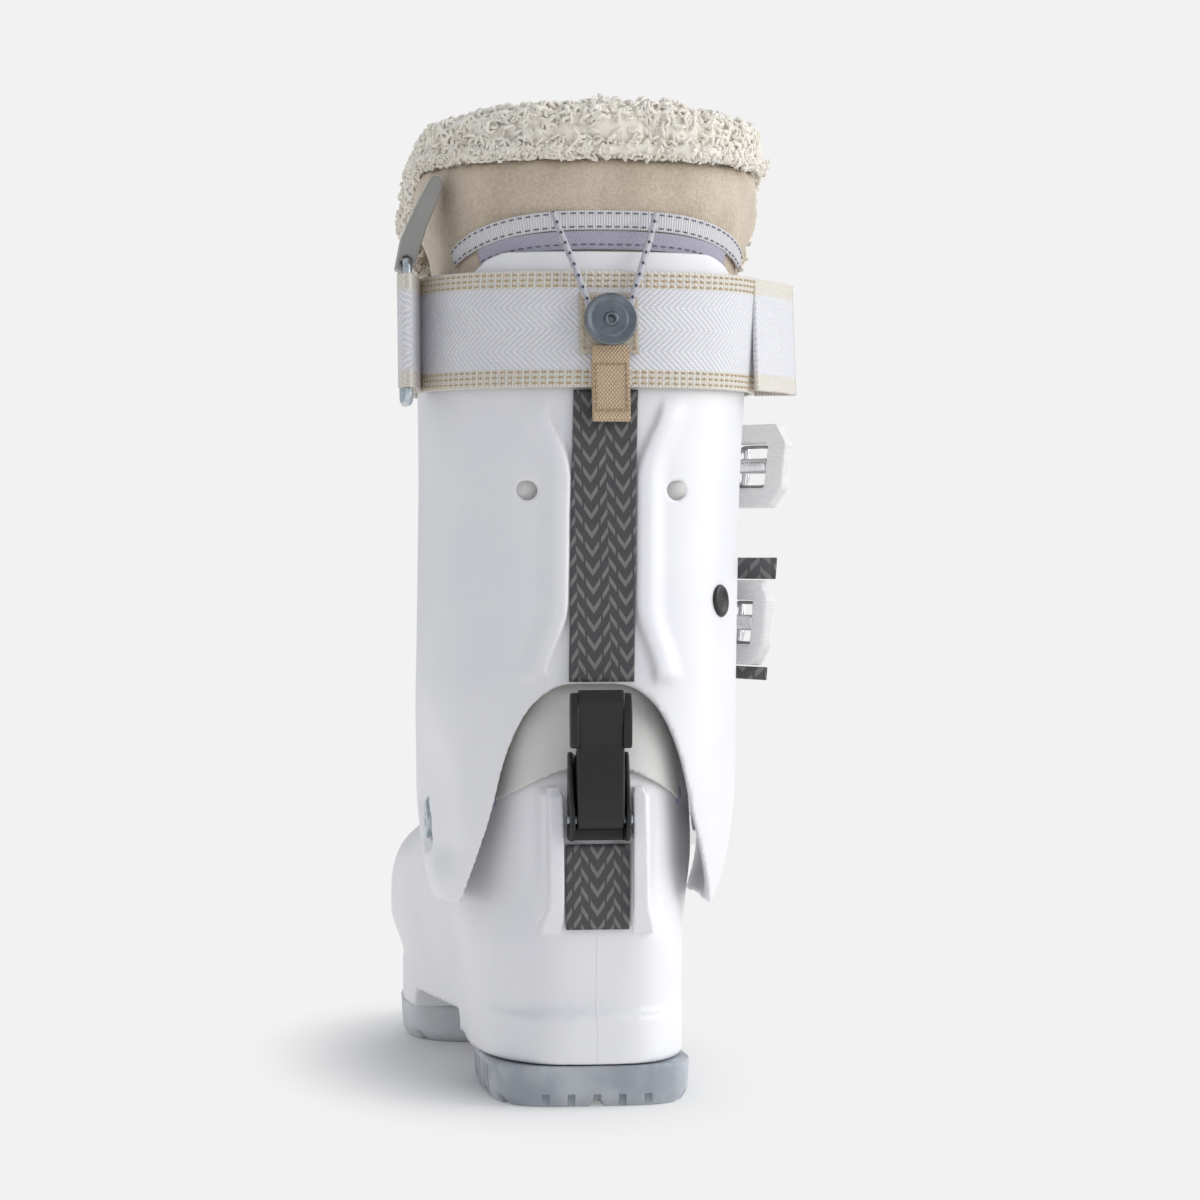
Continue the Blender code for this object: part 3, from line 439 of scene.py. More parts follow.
class Look:
    """Builds one material's nodes. Patterns are sized in millimetres."""

    SHIFT = 60.0  # Keeps a pattern's coordinate above zero.

    def __init__(self, name, colour, roughness, metallic=0.0, **fixed):
        self.made = bpy.data.materials.new(name)
        self.made.use_nodes = True
        self.tree = self.made.node_tree
        self.shader = self.tree.nodes["Principled BSDF"]
        self.shader.inputs["Base Color"].default_value = (*colour, 1)
        self.shader.inputs["Roughness"].default_value = roughness
        self.shader.inputs["Metallic"].default_value = metallic
        for key, value in fixed.items():
            self.shader.inputs[key.replace("_", " ")].default_value = value
        place = self.tree.nodes.new("ShaderNodeTexCoord")
        self.place = self.add("ShaderNodeVectorMath", {0: place.outputs["Object"], "Scale": 1 / MM},
                              operation="SCALE").outputs[0]
        self.uv = self.add("ShaderNodeVectorMath", {0: place.outputs["UV"], "Scale": 10.0},
                           operation="SCALE").outputs[0]
        self.normal = None
        LOOKS[name] = self.made

    def add(self, kind, inputs=None, **settings):
        node = self.tree.nodes.new(kind)
        for key, value in settings.items():
            setattr(node, key, value)
        for key, value in (inputs or {}).items():
            if isinstance(value, bpy.types.NodeSocket):
                self.tree.links.new(value, node.inputs[key])
            else:
                node.inputs[key].default_value = value
        return node

    def math(self, operation, a, b=0.0, c=0.0):
        return self.add("ShaderNodeMath", {0: a, 1: b, 2: c}, operation=operation).outputs[0]

    def weighed(self, a, share_a, b, share_b):
        return self.math("MULTIPLY_ADD", a, share_a, self.math("MULTIPLY", b, share_b))

    def stretched(self, vector, x, y, z):
        return self.add("ShaderNodeVectorMath", {0: vector, 1: (x, y, z)}, operation="MULTIPLY").outputs[0]

    def axes(self, vector):
        return self.add("ShaderNodeSeparateXYZ", {0: vector}).outputs

    def noise(self, size, detail=3.0, vector=None):
        return self.add("ShaderNodeTexNoise", {"Vector": vector or self.place, "Scale": 1 / size,
                                               "Detail": detail}).outputs["Fac"]

    def cells(self, size, vector=None, feature="F1"):
        return self.add("ShaderNodeTexVoronoi", {"Vector": vector or self.place, "Scale": 1 / size},
                        feature=feature).outputs["Distance"]

    def wave(self, value, period):
        """0 to 1 and back along a value in millimetres."""
        turned = self.math("MULTIPLY", value, 2 * math.pi / period)
        return self.math("MULTIPLY_ADD", self.math("SINE", turned), 0.5, 0.5)

    def step(self, value, low, high):
        return self.add("ShaderNodeMapRange", {"Value": value, "From Min": low, "From Max": high},
                        interpolation_type="SMOOTHSTEP").outputs["Result"]

    def mix(self, share, first, second):
        first = (*first, 1) if isinstance(first, tuple) else first
        second = (*second, 1) if isinstance(second, tuple) else second
        node = self.add("ShaderNodeMix", {0: share, 6: first, 7: second}, data_type="RGBA")
        return node.outputs[2]

    def colour(self, socket):
        self.tree.links.new(socket, self.shader.inputs["Base Color"])
        return socket

    def roughness(self, share, low, high):
        span = self.add("ShaderNodeMapRange", {"Value": share, "To Min": low, "To Max": high})
        self.tree.links.new(span.outputs["Result"], self.shader.inputs["Roughness"])

    def bump(self, height, depth_mm, strength=1.0):
        inputs = {"Height": height, "Distance": depth_mm * MM, "Strength": strength}
        if self.normal:
            inputs["Normal"] = self.normal
        self.normal = self.add("ShaderNodeBump", inputs).outputs["Normal"]
        self.tree.links.new(self.normal, self.shader.inputs["Normal"])


LOOKS = {}


def shell_look():
    look = Look("white_shell", (0.82, 0.82, 0.84), 0.36, Coat_Weight=0.12, Coat_Roughness=0.3)
    cloud = look.noise(38.0, 4)
    fine = look.noise(1.3, 2)
    look.colour(look.mix(look.step(cloud, 0.35, 0.68), (0.80, 0.80, 0.83), (0.835, 0.835, 0.85)))
    look.roughness(look.weighed(fine, 0.5, cloud, 0.5), 0.28, 0.46)
    x, _, z = look.axes(look.place)[:3]
    seam = look.math("ABSOLUTE", look.math("SUBTRACT", x, FRAME.x))
    low = look.math("LESS_THAN", z, 57.0)
    look.bump(look.math("MULTIPLY", look.math("SUBTRACT", 1.0, look.step(seam, 0.05, 0.3)), low), 0.12)
    look.bump(fine, 0.035, 0.6)


def lever_look():
    look = Look("white_lever", (0.82, 0.82, 0.81), 0.42)
    lines = look.noise(0.5, 2, look.stretched(look.place, 0.12, 0.12, 1.0))
    look.colour(look.mix(look.step(lines, 0.3, 0.7), (0.77, 0.77, 0.765), (0.84, 0.84, 0.83)))
    look.roughness(lines, 0.32, 0.52)
    look.bump(lines, 0.12, 0.7)


def sole_look(name, colour, light):
    look = Look(name, colour, 0.4, Transmission_Weight=0.12, Subsurface_Weight=0.15, Subsurface_Scale=0.004)
    look.colour(look.mix(look.step(look.noise(16.0), 0.35, 0.7), colour, light))
    grain = look.noise(0.9, 4)
    look.roughness(grain, 0.3, 0.55)
    look.bump(grain, 0.12, 0.6)


def strip_look():
    """Dark film with a plain chevron pattern."""
    look = Look("dark_strip", (0.055, 0.055, 0.058), 0.46)
    x, _, z = look.axes(look.place)[:3]
    column = look.math("PINGPONG", look.math("ADD", x, Look.SHIFT), 5.4)
    lane = look.math("FLOOR", look.math("DIVIDE", look.math("ADD", x, Look.SHIFT), 10.8))
    shift = look.math("MULTIPLY", lane, 3.7)
    climb = look.math("ADD", look.math("ADD", z, shift), look.math("MULTIPLY", column, 1.5))
    line = look.math("PINGPONG", climb, 3.1)
    stroke = look.math("SUBTRACT", 1.0, look.step(line, 0.95, 1.15))
    gap = look.step(look.math("ABSOLUTE", look.math("SUBTRACT", column, 2.7)), 0.25, 0.45)
    mark = look.math("MULTIPLY", stroke, gap)
    worn = look.noise(5.0, 3)
    light = look.mix(worn, (0.15, 0.15, 0.148), (0.2, 0.2, 0.195))
    look.colour(look.mix(mark, look.mix(worn, (0.05, 0.05, 0.053), (0.07, 0.07, 0.073)), light))
    look.roughness(look.noise(0.6), 0.34, 0.56)
    look.bump(mark, 0.06, 0.8)
    look.bump(look.noise(0.35, 2), 0.02, 0.5)


def black_look():
    look = Look("black_lever", (0.01, 0.01, 0.011), 0.42)
    grain = look.noise(0.45, 3)
    edge = look.add("ShaderNodeNewGeometry").outputs["Pointiness"]
    worn = look.step(edge, 0.53, 0.62)
    look.colour(look.mix(worn, (0.006, 0.006, 0.0065), (0.04, 0.04, 0.042)))
    look.roughness(look.math("MULTIPLY_ADD", worn, -0.6, grain), 0.2, 0.6)
    look.bump(grain, 0.1, 0.7)


def moulded_look(name, colour, roughness, dark, light, cloud, grain, span, depth, **fixed):
    """A moulded plastic: broad clouds of two tones and a fine grain. Grain is (size, detail)."""
    look = Look(name, colour, roughness, **fixed)
    look.colour(look.mix(look.noise(cloud), dark, light))
    fine = look.noise(*grain)
    look.roughness(fine, *span)
    look.bump(fine, depth, 0.6)


def metal_look(name, dark, light, low, high, scale):
    look = Look(name, light, low, 1.0)
    cloud = look.noise(scale, 4)
    look.colour(look.mix(look.step(cloud, 0.3, 0.7), dark, light))
    scratches = look.noise(0.25, 3, look.stretched(look.place, 1.0, 0.15, 0.15))
    look.roughness(look.weighed(scratches, 0.6, cloud, 0.4), low, high)
    look.bump(scratches, 0.012, 0.6)


def strap_look():
    """Glossy white herringbone webbing with a little subsurface scattering."""
    look = Look("strap_web", (0.76, 0.76, 0.79), 0.5, Sheen_Weight=0.25, Sheen_Roughness=0.4,
                Subsurface_Weight=0.1, Subsurface_Scale=0.003)
    along, across, _ = look.axes(look.uv)[:3]
    climb = look.math("PINGPONG", look.math("ADD", across, Look.SHIFT), 7.5)
    twill = look.wave(look.math("ADD", along, climb), 2.1)
    yarn = look.wave(across, 0.9)
    weave = look.math("MULTIPLY", twill, look.math("MULTIPLY_ADD", yarn, 0.5, 0.5))
    cloud = look.noise(11.0, 3)
    lit = look.mix(look.weighed(weave, 0.8, cloud, 0.3),
                   (0.6, 0.6, 0.645), (0.88, 0.88, 0.9))
    edge = look.step(look.math("ABSOLUTE", across), 13.4, 14.4)
    rib = look.wave(along, 1.1)
    binding = look.mix(rib, (0.62, 0.575, 0.5), (0.8, 0.77, 0.71))
    look.colour(look.mix(edge, lit, binding))
    look.roughness(weave, 0.62, 0.38)
    look.bump(weave, 0.3, 0.8)


def weave_look(name, dark, light, period, depth):
    """A plain weave: yarns over and under in turn."""
    look = Look(name, light, 0.8, Sheen_Weight=0.2, Sheen_Roughness=0.5)
    along, across, _ = look.axes(look.uv)[:3]
    warp = look.wave(along, period)
    weft = look.wave(across, period * 0.8)
    over = look.math("ABSOLUTE", look.math("SUBTRACT", warp, weft))
    fuzz = look.noise(0.35, 3)
    tone = look.weighed(over, 0.75, fuzz, 0.3)
    look.colour(look.mix(tone, dark, light))
    look.roughness(fuzz, 0.65, 0.9)
    look.bump(over, depth, 0.9)
    look.bump(fuzz, 0.05, 0.5)


def tape_look():
    """White grosgrain: fine ribs across the tape."""
    look = Look("tape", (0.78, 0.78, 0.79), 0.7, Sheen_Weight=0.2, Sheen_Roughness=0.4)
    along, across, _ = look.axes(look.uv)[:3]
    rib = look.wave(along, 0.9)
    yarn = look.wave(across, 0.5)
    look.colour(look.mix(rib, (0.6, 0.6, 0.615), (0.84, 0.84, 0.845)))
    look.roughness(yarn, 0.55, 0.8)
    look.bump(rib, 0.28, 0.9)
    look.bump(yarn, 0.06, 0.5)


def suede_look():
    look = Look("suede", (0.6, 0.5, 0.385), 0.92, Sheen_Weight=0.35, Sheen_Roughness=0.45)
    cloud = look.noise(14.0, 4)
    nap = look.noise(1.1, 5)
    pebble = look.cells(0.9)
    tone = look.weighed(nap, 0.55, cloud, 0.45)
    look.colour(look.mix(look.step(tone, 0.32, 0.66), (0.49, 0.405, 0.31), (0.65, 0.555, 0.44)))
    look.roughness(nap, 0.82, 1.0)
    look.bump(pebble, 0.22, 0.45)
    look.bump(nap, 0.2, 0.5)


def fur_look():
    look = Look("fur", (0.93, 0.9, 0.83), 0.95, Sheen_Weight=0.5, Sheen_Roughness=0.6)
    curl = look.noise(2.2, 5)
    cloud = look.noise(13.0, 3)
    tone = look.weighed(curl, 0.6, cloud, 0.4)
    look.colour(look.mix(look.step(tone, 0.3, 0.68), (0.88, 0.82, 0.71), (0.96, 0.93, 0.86)))
    look.roughness(curl, 0.85, 1.0)
    strands = look.noise(0.9, 3, look.stretched(look.place, 1.0, 1.0, 0.45))
    look.bump(strands, 0.25, 0.6)


def cord_look():
    """Round white cord with two rows of dark diamond flecks."""
    look = Look("cord", (0.8, 0.8, 0.82), 0.6, Sheen_Weight=0.15)
    along, across, _ = look.axes(look.uv)[:3]
    ring = look.math("MULTIPLY", across, 2.4)
    mark = look.math("PINGPONG", along, 2.1)
    side = look.math("PINGPONG", ring, 6.0)
    aside = look.math("ABSOLUTE", look.math("SUBTRACT", side, 3.0))
    fleck = look.math("ADD", mark, look.math("MULTIPLY", aside, 0.5))
    dark = look.math("SUBTRACT", 1.0, look.step(fleck, 0.75, 0.95))
    braid = look.math("MULTIPLY", look.wave(look.math("ADD", along, ring), 0.8),
                      look.wave(look.math("SUBTRACT", along, ring), 0.8))
    look.colour(look.mix(dark, look.mix(braid, (0.62, 0.61, 0.68), (0.86, 0.86, 0.9)), (0.03, 0.03, 0.06)))
    look.roughness(braid, 0.7, 0.5)
    look.bump(braid, 0.18, 0.9)


def thread_look(name, colour):
    look = Look(name, colour, 0.6, Sheen_Weight=0.2)
    twist = look.noise(0.3, 2)
    darker = tuple(part * 0.6 for part in colour)
    look.colour(look.mix(look.step(twist, 0.3, 0.6), darker, colour))
    look.roughness(twist, 0.45, 0.75)
    look.bump(twist, 0.08, 0.8)


def make_looks():
    shell_look()
    lever_look()
    sole_look("sole_rubber", (0.36, 0.395, 0.44), (0.52, 0.55, 0.59))
    sole_look("toe_rubber", (0.62, 0.64, 0.66), (0.74, 0.76, 0.78))
    strip_look()
    black_look()
    moulded_look("gasket", (0.66, 0.655, 0.63), 0.55, (0.6, 0.595, 0.575), (0.7, 0.695, 0.67), 12.0,
                 (0.7, 4), (0.45, 0.68), 0.06, Subsurface_Weight=0.08, Subsurface_Scale=0.003)
    metal_look("zinc", (0.36, 0.42, 0.46), (0.62, 0.68, 0.72), 0.2, 0.42, 5.0)
    metal_look("chrome", (0.66, 0.66, 0.68), (0.84, 0.84, 0.85), 0.08, 0.24, 9.0)
    metal_look("stud_metal", (0.16, 0.18, 0.2), (0.23, 0.25, 0.28), 0.24, 0.42, 6.0)
    metal_look("edge_grey", (0.3, 0.3, 0.31), (0.46, 0.46, 0.47), 0.3, 0.5, 4.0)
    moulded_look("grey_plastic", (0.3, 0.295, 0.285), 0.4, (0.27, 0.265, 0.255), (0.34, 0.335, 0.325), 9.0,
                 (0.5, 3), (0.3, 0.52), 0.05)
    strap_look()
    weave_look("tan_web", (0.4, 0.28, 0.17), (0.9, 0.7, 0.47), 1.5, 0.45)
    weave_look("beige_patch", (0.5, 0.44, 0.35), (0.76, 0.7, 0.6), 1.0, 0.2)
    weave_look("lilac_mesh", (0.3, 0.28, 0.4), (0.72, 0.71, 0.78), 1.1, 0.3)
    tape_look()
    suede_look()
    fur_look()
    cord_look()
    thread_look("beige_thread", (0.56, 0.42, 0.25))
    thread_look("dark_thread", (0.16, 0.14, 0.2))
    thread_look("tan_thread", (0.42, 0.31, 0.19))
    moulded_look("board", (0.1, 0.1, 0.105), 0.7, (0.07, 0.07, 0.075), (0.15, 0.15, 0.155), 0.8,
                 (0.8, 3), (0.55, 0.85), 0.15)
    # Dark lilac for thin strokes of painted shade in the gaps beside the gasket.
    gap_shade_look = Look("lilac_gap_shade", (0.3, 0.27, 0.42), 0.5)
    gap_shade_look.bump(gap_shade_look.noise(0.5), 0.05, 0.5)


# The hard shells

def shell_width(z, side_scale=1.0):
    """The half width at one height: wider at the ball of the foot on the medial side."""
    share = fade(z, 32, 80)
    ball = 4.5 * fade(z, 30, 48) * (1 - fade(z, 72, 96))

    def width(y, s):
        low = smooth(LOW_LATERAL if s >= 0 else LOW_MEDIAL, y)
        high = smooth(SHELL_LATERAL if s >= 0 else SHELL_MEDIAL, y)
        swell = 0.0 if s >= 0 else ball * fade(y, 120, 175)
        return (low + (high - low) * share) * side_scale + swell
    return width


def side_taper(z, full=1.0):
    """How far the shell's sides are drawn in above the ankle."""
    return full - 0.04 * fade(z, 76, 106)


def shell_blunt(z):
    """How square the outline is: a broad round heel at the sole, a slimmer one above it."""
    return 0.52 + 0.2 * fade(z, 50, 84)


def heel_ridge(x, z):
    """The two towers beside the strip on the heel."""
    across = fade(abs(x), STRIP_HALF, STRIP_HALF + 0.9) * (1 - fade(abs(x), 17.0, 20.5))
    along = fade(z, 56, 64) * (1 - fade(z, 102.6, 105.4))
    return 4.8 * across * along


def shell_ring(z, reach=24.0, rear_count=33):
    """The lower shell's outside at one height."""
    blunt = shell_blunt(z)
    angles = fine_angles(reach, HEEL_HALF, blunt, rear_count, 42)
    width = shell_width(z, side_taper(z))
    ring = outline_ring(z, smooth(SHELL_REAR, z), smooth(SHELL_FRONT, z), width, blunt, angles)
    for point in ring:
        if point.y < 40:
            point.y -= heel_ridge(point.x, z)
        limit = HEEL_HALF if z <= 30 else 99.0
        if point.y < 30 or point.y > 262:
            point.x = max(-limit, min(limit, point.x))
    return ring


def overlap_line(y):
    """Where the shell's upper flap ends over the instep, from the throat towards the toes."""
    return 13.0 - 22.0 * fade(y, 150, 232)


def flap_rise(point):
    """How far the shell's upper flap stands above the one below it."""
    along = fade(point.y, 128, 140) * (1 - fade(point.y, 226, 246))
    edge = overlap_line(point.y)
    return 0.9 * fade(point.x, edge - 0.9, edge + 0.9) * along * fade(point.z, 60, 68)


def make_shell():
    """The lower shell, hollow, with its arch under the instep."""
    angles = fine_angles(24.0, HEEL_HALF, SHELL_BLUNT, 33, 42)
    heights = levels((14, 28, 6), (28, 32, 8), (32, 56, 14), (56, 66, 8), (66, 101, 28), (101, 107, 14),
                     (107, SHELL_TOP, 14))
    outer = [shell_ring(z) for z in heights]
    for ring in outer:
        for point in ring:
            if point.z > 60 and 128 < point.y < 250:
                point.z += flap_rise(point)
    inner = []
    for z in [height for height in heights[::-1] if height >= 45]:
        ring = outline_ring(z, smooth(SHELL_REAR, z), min(smooth(SHELL_FRONT, z), 268),
                            shell_width(z, side_taper(z)), SHELL_BLUNT, angles)
        inner.append(shrunk(ring, SHELL_WALL))
    inner.append(outline_ring(28.0, 8, 255, shell_width(28.0, 0.84), SHELL_BLUNT, angles))
    shell = loft("shell_skin", outer + inner)
    arch = softened([(98, -8), (172, -8), (172, 21), (98, 21)], 6.0)
    cut(shell, [flat_prism("arch_cut", arch, "x", -80, 80)])
    remesh(shell, 1.05, 4)
    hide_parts("lower_shell")
    dress(shell, "white_shell", "boot")
    return Surface(outer)


def make_towers():
    """The two ribs beside the heel's strip: sharp at their inner side, wider and flat at their foot."""
    for side, label in SIDES:
        rings = []
        for z in levels((57, 64, 6), (64, 102, 18), (102, 105.2, 6)):
            foot = 1 - fade(z, 57, 68)
            top = fade(z, 102, 105.2)
            inner = 11.5 + 0.8 * top
            outer = 17.4 + 2.4 * foot - 0.9 * top
            rear = smooth(SHELL_REAR, z)
            proud = rear - 5.2 * (1 - foot) * (1 - 0.35 * top) - 0.3
            rings.append([Vector((side * x, y, z)) for x, y in
                          ((inner, rear + 3), (inner, proud), (outer - 1.2, proud + 0.2), (outer, rear + 4))])
        tower = loft(f"heel_tower_{label}", rings)
        remesh(tower, 0.5, 2)
        dress(tower, "white_shell", "boot")


def spine_relief(x, z):
    """The lips beside the spine's strip, which spread at their lower and upper ends."""
    flare = 7.0 * (1 - fade(z, 139, 166)) + 8.0 * fade(z, 208, 234)
    inner = STRIP_HALF + 0.1 + flare
    across = fade(abs(x), inner, inner + 0.9) * (1 - fade(abs(x), inner + 4.6, inner + 11))
    return 2.6 * across * fade(z, 138, 142) * (1 - fade(z, 227, 236))


def ankle_hollow(point):
    """How far the medial side is drawn in behind the ankle, so that its pivot faces rearwards."""
    if point.x > 0:
        return 0.0
    depth = min(0.0016 * max(0.0, 118 - point.y) ** 2, 6.0)
    return depth * fade(point.z, 66, 86) * (1 - fade(point.z, 98, 136)) * fade(point.y, 12, 50)


def cuff_ring(z, angles, relief=True):
    """The cuff's outside at one height, with or without its ridges and pivot recesses."""
    half = smooth(CUFF_HALF, z)
    ring = outline_ring(z, smooth(CUFF_REAR, z), smooth(CUFF_FRONT, z), lambda y, s: half, CUFF_BLUNT, angles)
    for point in ring:
        point.x += ankle_hollow(point)
        if relief and point.y < 60:
            point.y -= spine_relief(point.x, z)
        away = math.hypot(point.y - PIVOT.y, z - PIVOT.z)
        if relief and away < 12.5:
            point.x -= math.copysign(2.2 * (1 - fade(away, 10.0, 12.0)), point.x)
    return leaning(ring)


def flat_prism(name, outline, axis, low, high):
    """An outline in the xz plane made thick along y, or one in the yz plane made thick along x."""
    if axis == "y":
        rings = [[Vector((a, level, b)) for a, b in outline] for level in (low, high)]
    else:
        rings = [[Vector((level, a, b)) for a, b in outline] for level in (low, high)]
    return loft(name, rings)


def softened(outline, radius, steps=6):
    """The outline with each corner rounded."""
    count = len(outline)
    made = []
    for i in range(count):
        point = Vector(outline[i])
        back = Vector(outline[i - 1]) - point
        ahead = Vector(outline[(i + 1) % count]) - point
        start = point + back.normalized() * min(radius, back.length * 0.45)
        end = point + ahead.normalized() * min(radius, ahead.length * 0.45)
        for k in range(steps + 1):
            t = k / steps
            made.append(tuple(start * (1 - t) ** 2 + point * 2 * t * (1 - t) + end * t**2))
    return made


def round_cutter(name, start, end, radius):
    """A cylinder between two points."""
    rings, _ = tube_path([Vector(start), Vector(end)], radius, 32)
    return loft(name, rings)


def make_cuff():
    """The cuff with its V, its front gap, its pivot holes and two round recesses."""
    angles = fine_angles(34.0, 54.0, CUFF_BLUNT, 46, 44)
    heights = levels((64, 78, 8), (78, 104, 24), (104, 138, 14), (138, 158, 16), (158, 224, 20),
                     (224, 238, 8), (238, CUFF_TOP, 14))
    outer = [cuff_ring(z, angles) for z in heights]
    inner = [shrunk(cuff_ring(z, angles, False), CUFF_WALL) for z in heights[::-1]]
    for ring in outer + inner:
        for point in ring:
            beside = abs(point.x - smooth(LEAN, CUFF_TOP))
            rise = 2.5 * (1 - fade(beside, 34, 42)) - 8.0 * fade(beside, 40, 48)
            point.z += rise * fade(point.z, 262, CUFF_TOP)
    cuff = loft("cuff_skin", outer + inner, closed=True)
    v_right = [(12, SPINE_LOW), (21, 132), (26, 123), (30, 112), (33.5, 96), (42, 66), (44, 40)]
    outline = softened(v_right + [(-x, z) for x, z in reversed(v_right)], 6.0)
    low_front = [(86, 50), (92, 72), (103, 98), (122, 124), (138, 140), (160, 146), (190, 146), (190, 50)]
    cutters = [flat_prism("v_cut", outline, "y", -40, 60),
               flat_prism("front_cut", softened(low_front, 9.0), "x", -90, 90),
               box("front_gap_cut", (-5, 120, 40), (3, 200, 300))]
    for side, _ in SIDES:
        near = (side * 40, PIVOT.y, PIVOT.z)
        far = (side * 70, PIVOT.y, PIVOT.z)
        cutters.append(round_cutter("pivot_cut", near, far, 7.4))
    for x, _ in HOLES:
        cutters.append(round_cutter("hole_cut", (x, -20, HOLE_Z), (x, 45, HOLE_Z), 3.3))
    cut(cuff, cutters)
    remesh(cuff, 0.8, 5)
    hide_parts("cuff")
    dress(cuff, "white_shell", "cuff_body")
    surface = Surface([cuff_ring(z, angles, False) for z in heights])
    for x, label in HOLES:
        point, _ = surface.behind(x, HOLE_Z)
        near = point + Vector((0, 1.9, 0))
        far = point + Vector((0, 3.4, 0))
        # Each recess gets a real floor, coloured in the greyer gasket look as painted shade in the recess.
        plug = round_cutter(f"hole_floor_{label}", near, far, 3.6)
        dress(plug, "gasket", "cuff_body")
    return surface


def make_strips(cuff):
    """The dark patterned films in the spine's channel and on the heel."""
    points = []
    normals = []
    low = SPINE_LOW + 0.6
    for i in range(60):
        z = low + (STRAP_LOW - 0.6 - low) * i / 59
        point, normal = cuff.behind(smooth(LEAN, z), z)
        points.append(point)
        normals.append(normal)
    across = Vector((1, 0, 0))
    strip = band("spine_film", points, normals, across, 2 * STRIP_HALF, 0.9, 0.4, 0.5)
    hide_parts("spine_strip")
    dress(strip, "dark_strip", "cuff_body")
    heights = levels((58.6, 86.6, 20))
    points = [Vector((0, smooth(SHELL_REAR, z), z)) for z in heights]
    rearward = [Vector((0, -1, 0))] * len(points)
    film = band("heel_film", points, rearward, across, 2 * STRIP_HALF - 0.8, 0.9, 0.8, 0.5)
    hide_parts("heel_strip")
    dress(film, "dark_strip", "boot")


def make_gasket():
    """The ivory dome that fills the space between the heel and the cuff's V."""
    half = 31
    count = 46
    sections = []
    for i in range(count + 1):
        x = -half + 2 * half * i / count
        low = 112 - 10 * (abs(x) / 27) ** 2
        top = 145.0 - 17 * (abs(x) / 27) ** 2
        inner = []
        outer = []
        for k in range(9):
            t = k / 8
            z = low + (top - low) * t
            ring = [point for point in shell_ring(min(z, SHELL_TOP), 33.0, 34) if point.y < 70]
            ring.sort(key=lambda point: point.x)
            y = float(np.interp(x, [point.x for point in ring], [point.y for point in ring]))
            y += 2.5 * fade(z, 126, 134) + 3.5 * fade(z, 134, 146) - 1.5
            inner.append(Vector((x, y, z)))
            outer.append(Vector((x, y - 2.0 - 0.5 * math.sin(math.pi * t), z)))
        sections.append(inner + outer[::-1])
    gasket = loft("gasket_skin", sections)
    remesh(gasket, 0.7, 5)
    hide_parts("rear_gasket")
    dress(gasket, "gasket", "boot")


# The liner, its fur and its trim

def liner_ring(z, angles):
    """The liner's leg at one height."""
    half = smooth(LINER_HALF, z)
    rear = smooth(LINER_REAR, z)
    front = smooth(LINER_FRONT, z)
    return leaning(outline_ring(z, rear, front, lambda y, s: half, LINER_BLUNT, angles))


def foot_ring(z, angles, inset):
    """The liner's foot at one height, inside the shell."""
    ring = outline_ring(z, smooth(SHELL_REAR, z) + 1, min(smooth(SHELL_FRONT, z), 266) - 4,
                        shell_width(z, side_taper(z, 0.99)), SHELL_BLUNT, angles)
    return shrunk(ring, SHELL_WALL + inset)


def liner_outline(z, angles, inset):
    """The liner at any height: its foot, its leg, and the bend between them."""
    low_end = 116.0
    if z <= low_end:
        return foot_ring(z, angles, 1.6 + inset)
    leg = liner_ring(max(z, LINER_LOW), angles)
    if inset:
        leg = shrunk(leg, inset + 3.5)
    if z >= LINER_LOW:
        return leg
    foot = foot_ring(low_end, angles, 1.6 + inset)
    share = fade(z, low_end, LINER_LOW)
    ring = [Vector((*(a.xy.lerp(b.xy, share)), z)) for a, b in zip(foot, leg)]
    for point in ring:
        if point.y < 60:
            point.y += 6.0 * fade(z, 124, 138) * (1 - fade(z, 147, 156)) * (1 - fade(abs(point.x), 22, 36))
    return ring


def puffed(piece, pressure, cap):
    """Swells a padded piece as cloth, with each point's way limited by cap(point in mm)."""
    bake(piece, ("REMESH", {"mode": "VOXEL", "voxel_size": 4.5 * MM}))
    before = [vertex.co.copy() for vertex in piece.data.vertices]
    cloth = piece.modifiers.new("swell", "CLOTH")
    cloth.settings.effector_weights.gravity = 0
    cloth.settings.use_pressure = True
    cloth.settings.uniform_pressure_force = pressure
    cloth.settings.tension_stiffness = 12
    cloth.settings.bending_stiffness = 1.5
    scene = bpy.context.scene
    for number in range(1, 16):
        scene.frame_set(number)
    bake(piece)
    scene.frame_set(1)
    for vertex, start in zip(piece.data.vertices, before):
        moved = vertex.co - start
        allowed = cap(start / MM - FRAME) * MM
        if moved.length > allowed:
            vertex.co = start + moved.normalized() * allowed
    return bake(piece, ("SMOOTH", {"factor": 0.5, "iterations": 2}),
                ("SUBSURF", {"levels": 1, "render_levels": 1}))


def make_liner():
    """One padded liner for the foot and the leg, shaped with a bend where the shell meets the cuff."""
    angles = even_angles(96)
    heights = levels((36, 60, 6), (60, 116, 16), (116, LINER_LOW, 10), (LINER_LOW, 284, 24),
                     (284, LINER_TOP, 12))
    outer = [liner_outline(z, angles, 0.0) for z in heights]
    inner = [liner_outline(max(z, 42), angles, 5.0) for z in heights[::-1] if z >= 41]
    liner = loft("liner_soft", outer + inner)
    cut(liner, [box("liner_gap_cut", (-20, 110, 150), (34, 210, 340))])
    puffed(liner, 2.5, lambda p: 3.0 * fade(p.z, 284, 300))
    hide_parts("liner_cuff", "liner_foot")
    dress(liner, "suede")
    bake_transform(liner)
    return Surface(outer)


def make_tongue():
    """The padded tongue in front of the shin."""
    sections = []
    for z in levels((160, 316, 26)):
        y = smooth(LINER_FRONT, z) - 14.0
        half = 24.5 - 4.0 * fade(z, 300, 316)
        row = []
        for a in even_angles(28):
            x = 7.0 + signed_power(math.cos(a), 0.6) * half
            row.append(Vector((x, y + signed_power(math.sin(a), 0.8) * 3.0, z)))
        sections.append(row)
    tongue = loft("tongue_soft", sections)
    puffed(tongue, 2.0, lambda p: 1.5)
    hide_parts("liner_tongue")
    dress(tongue, "suede", "cuff_body")


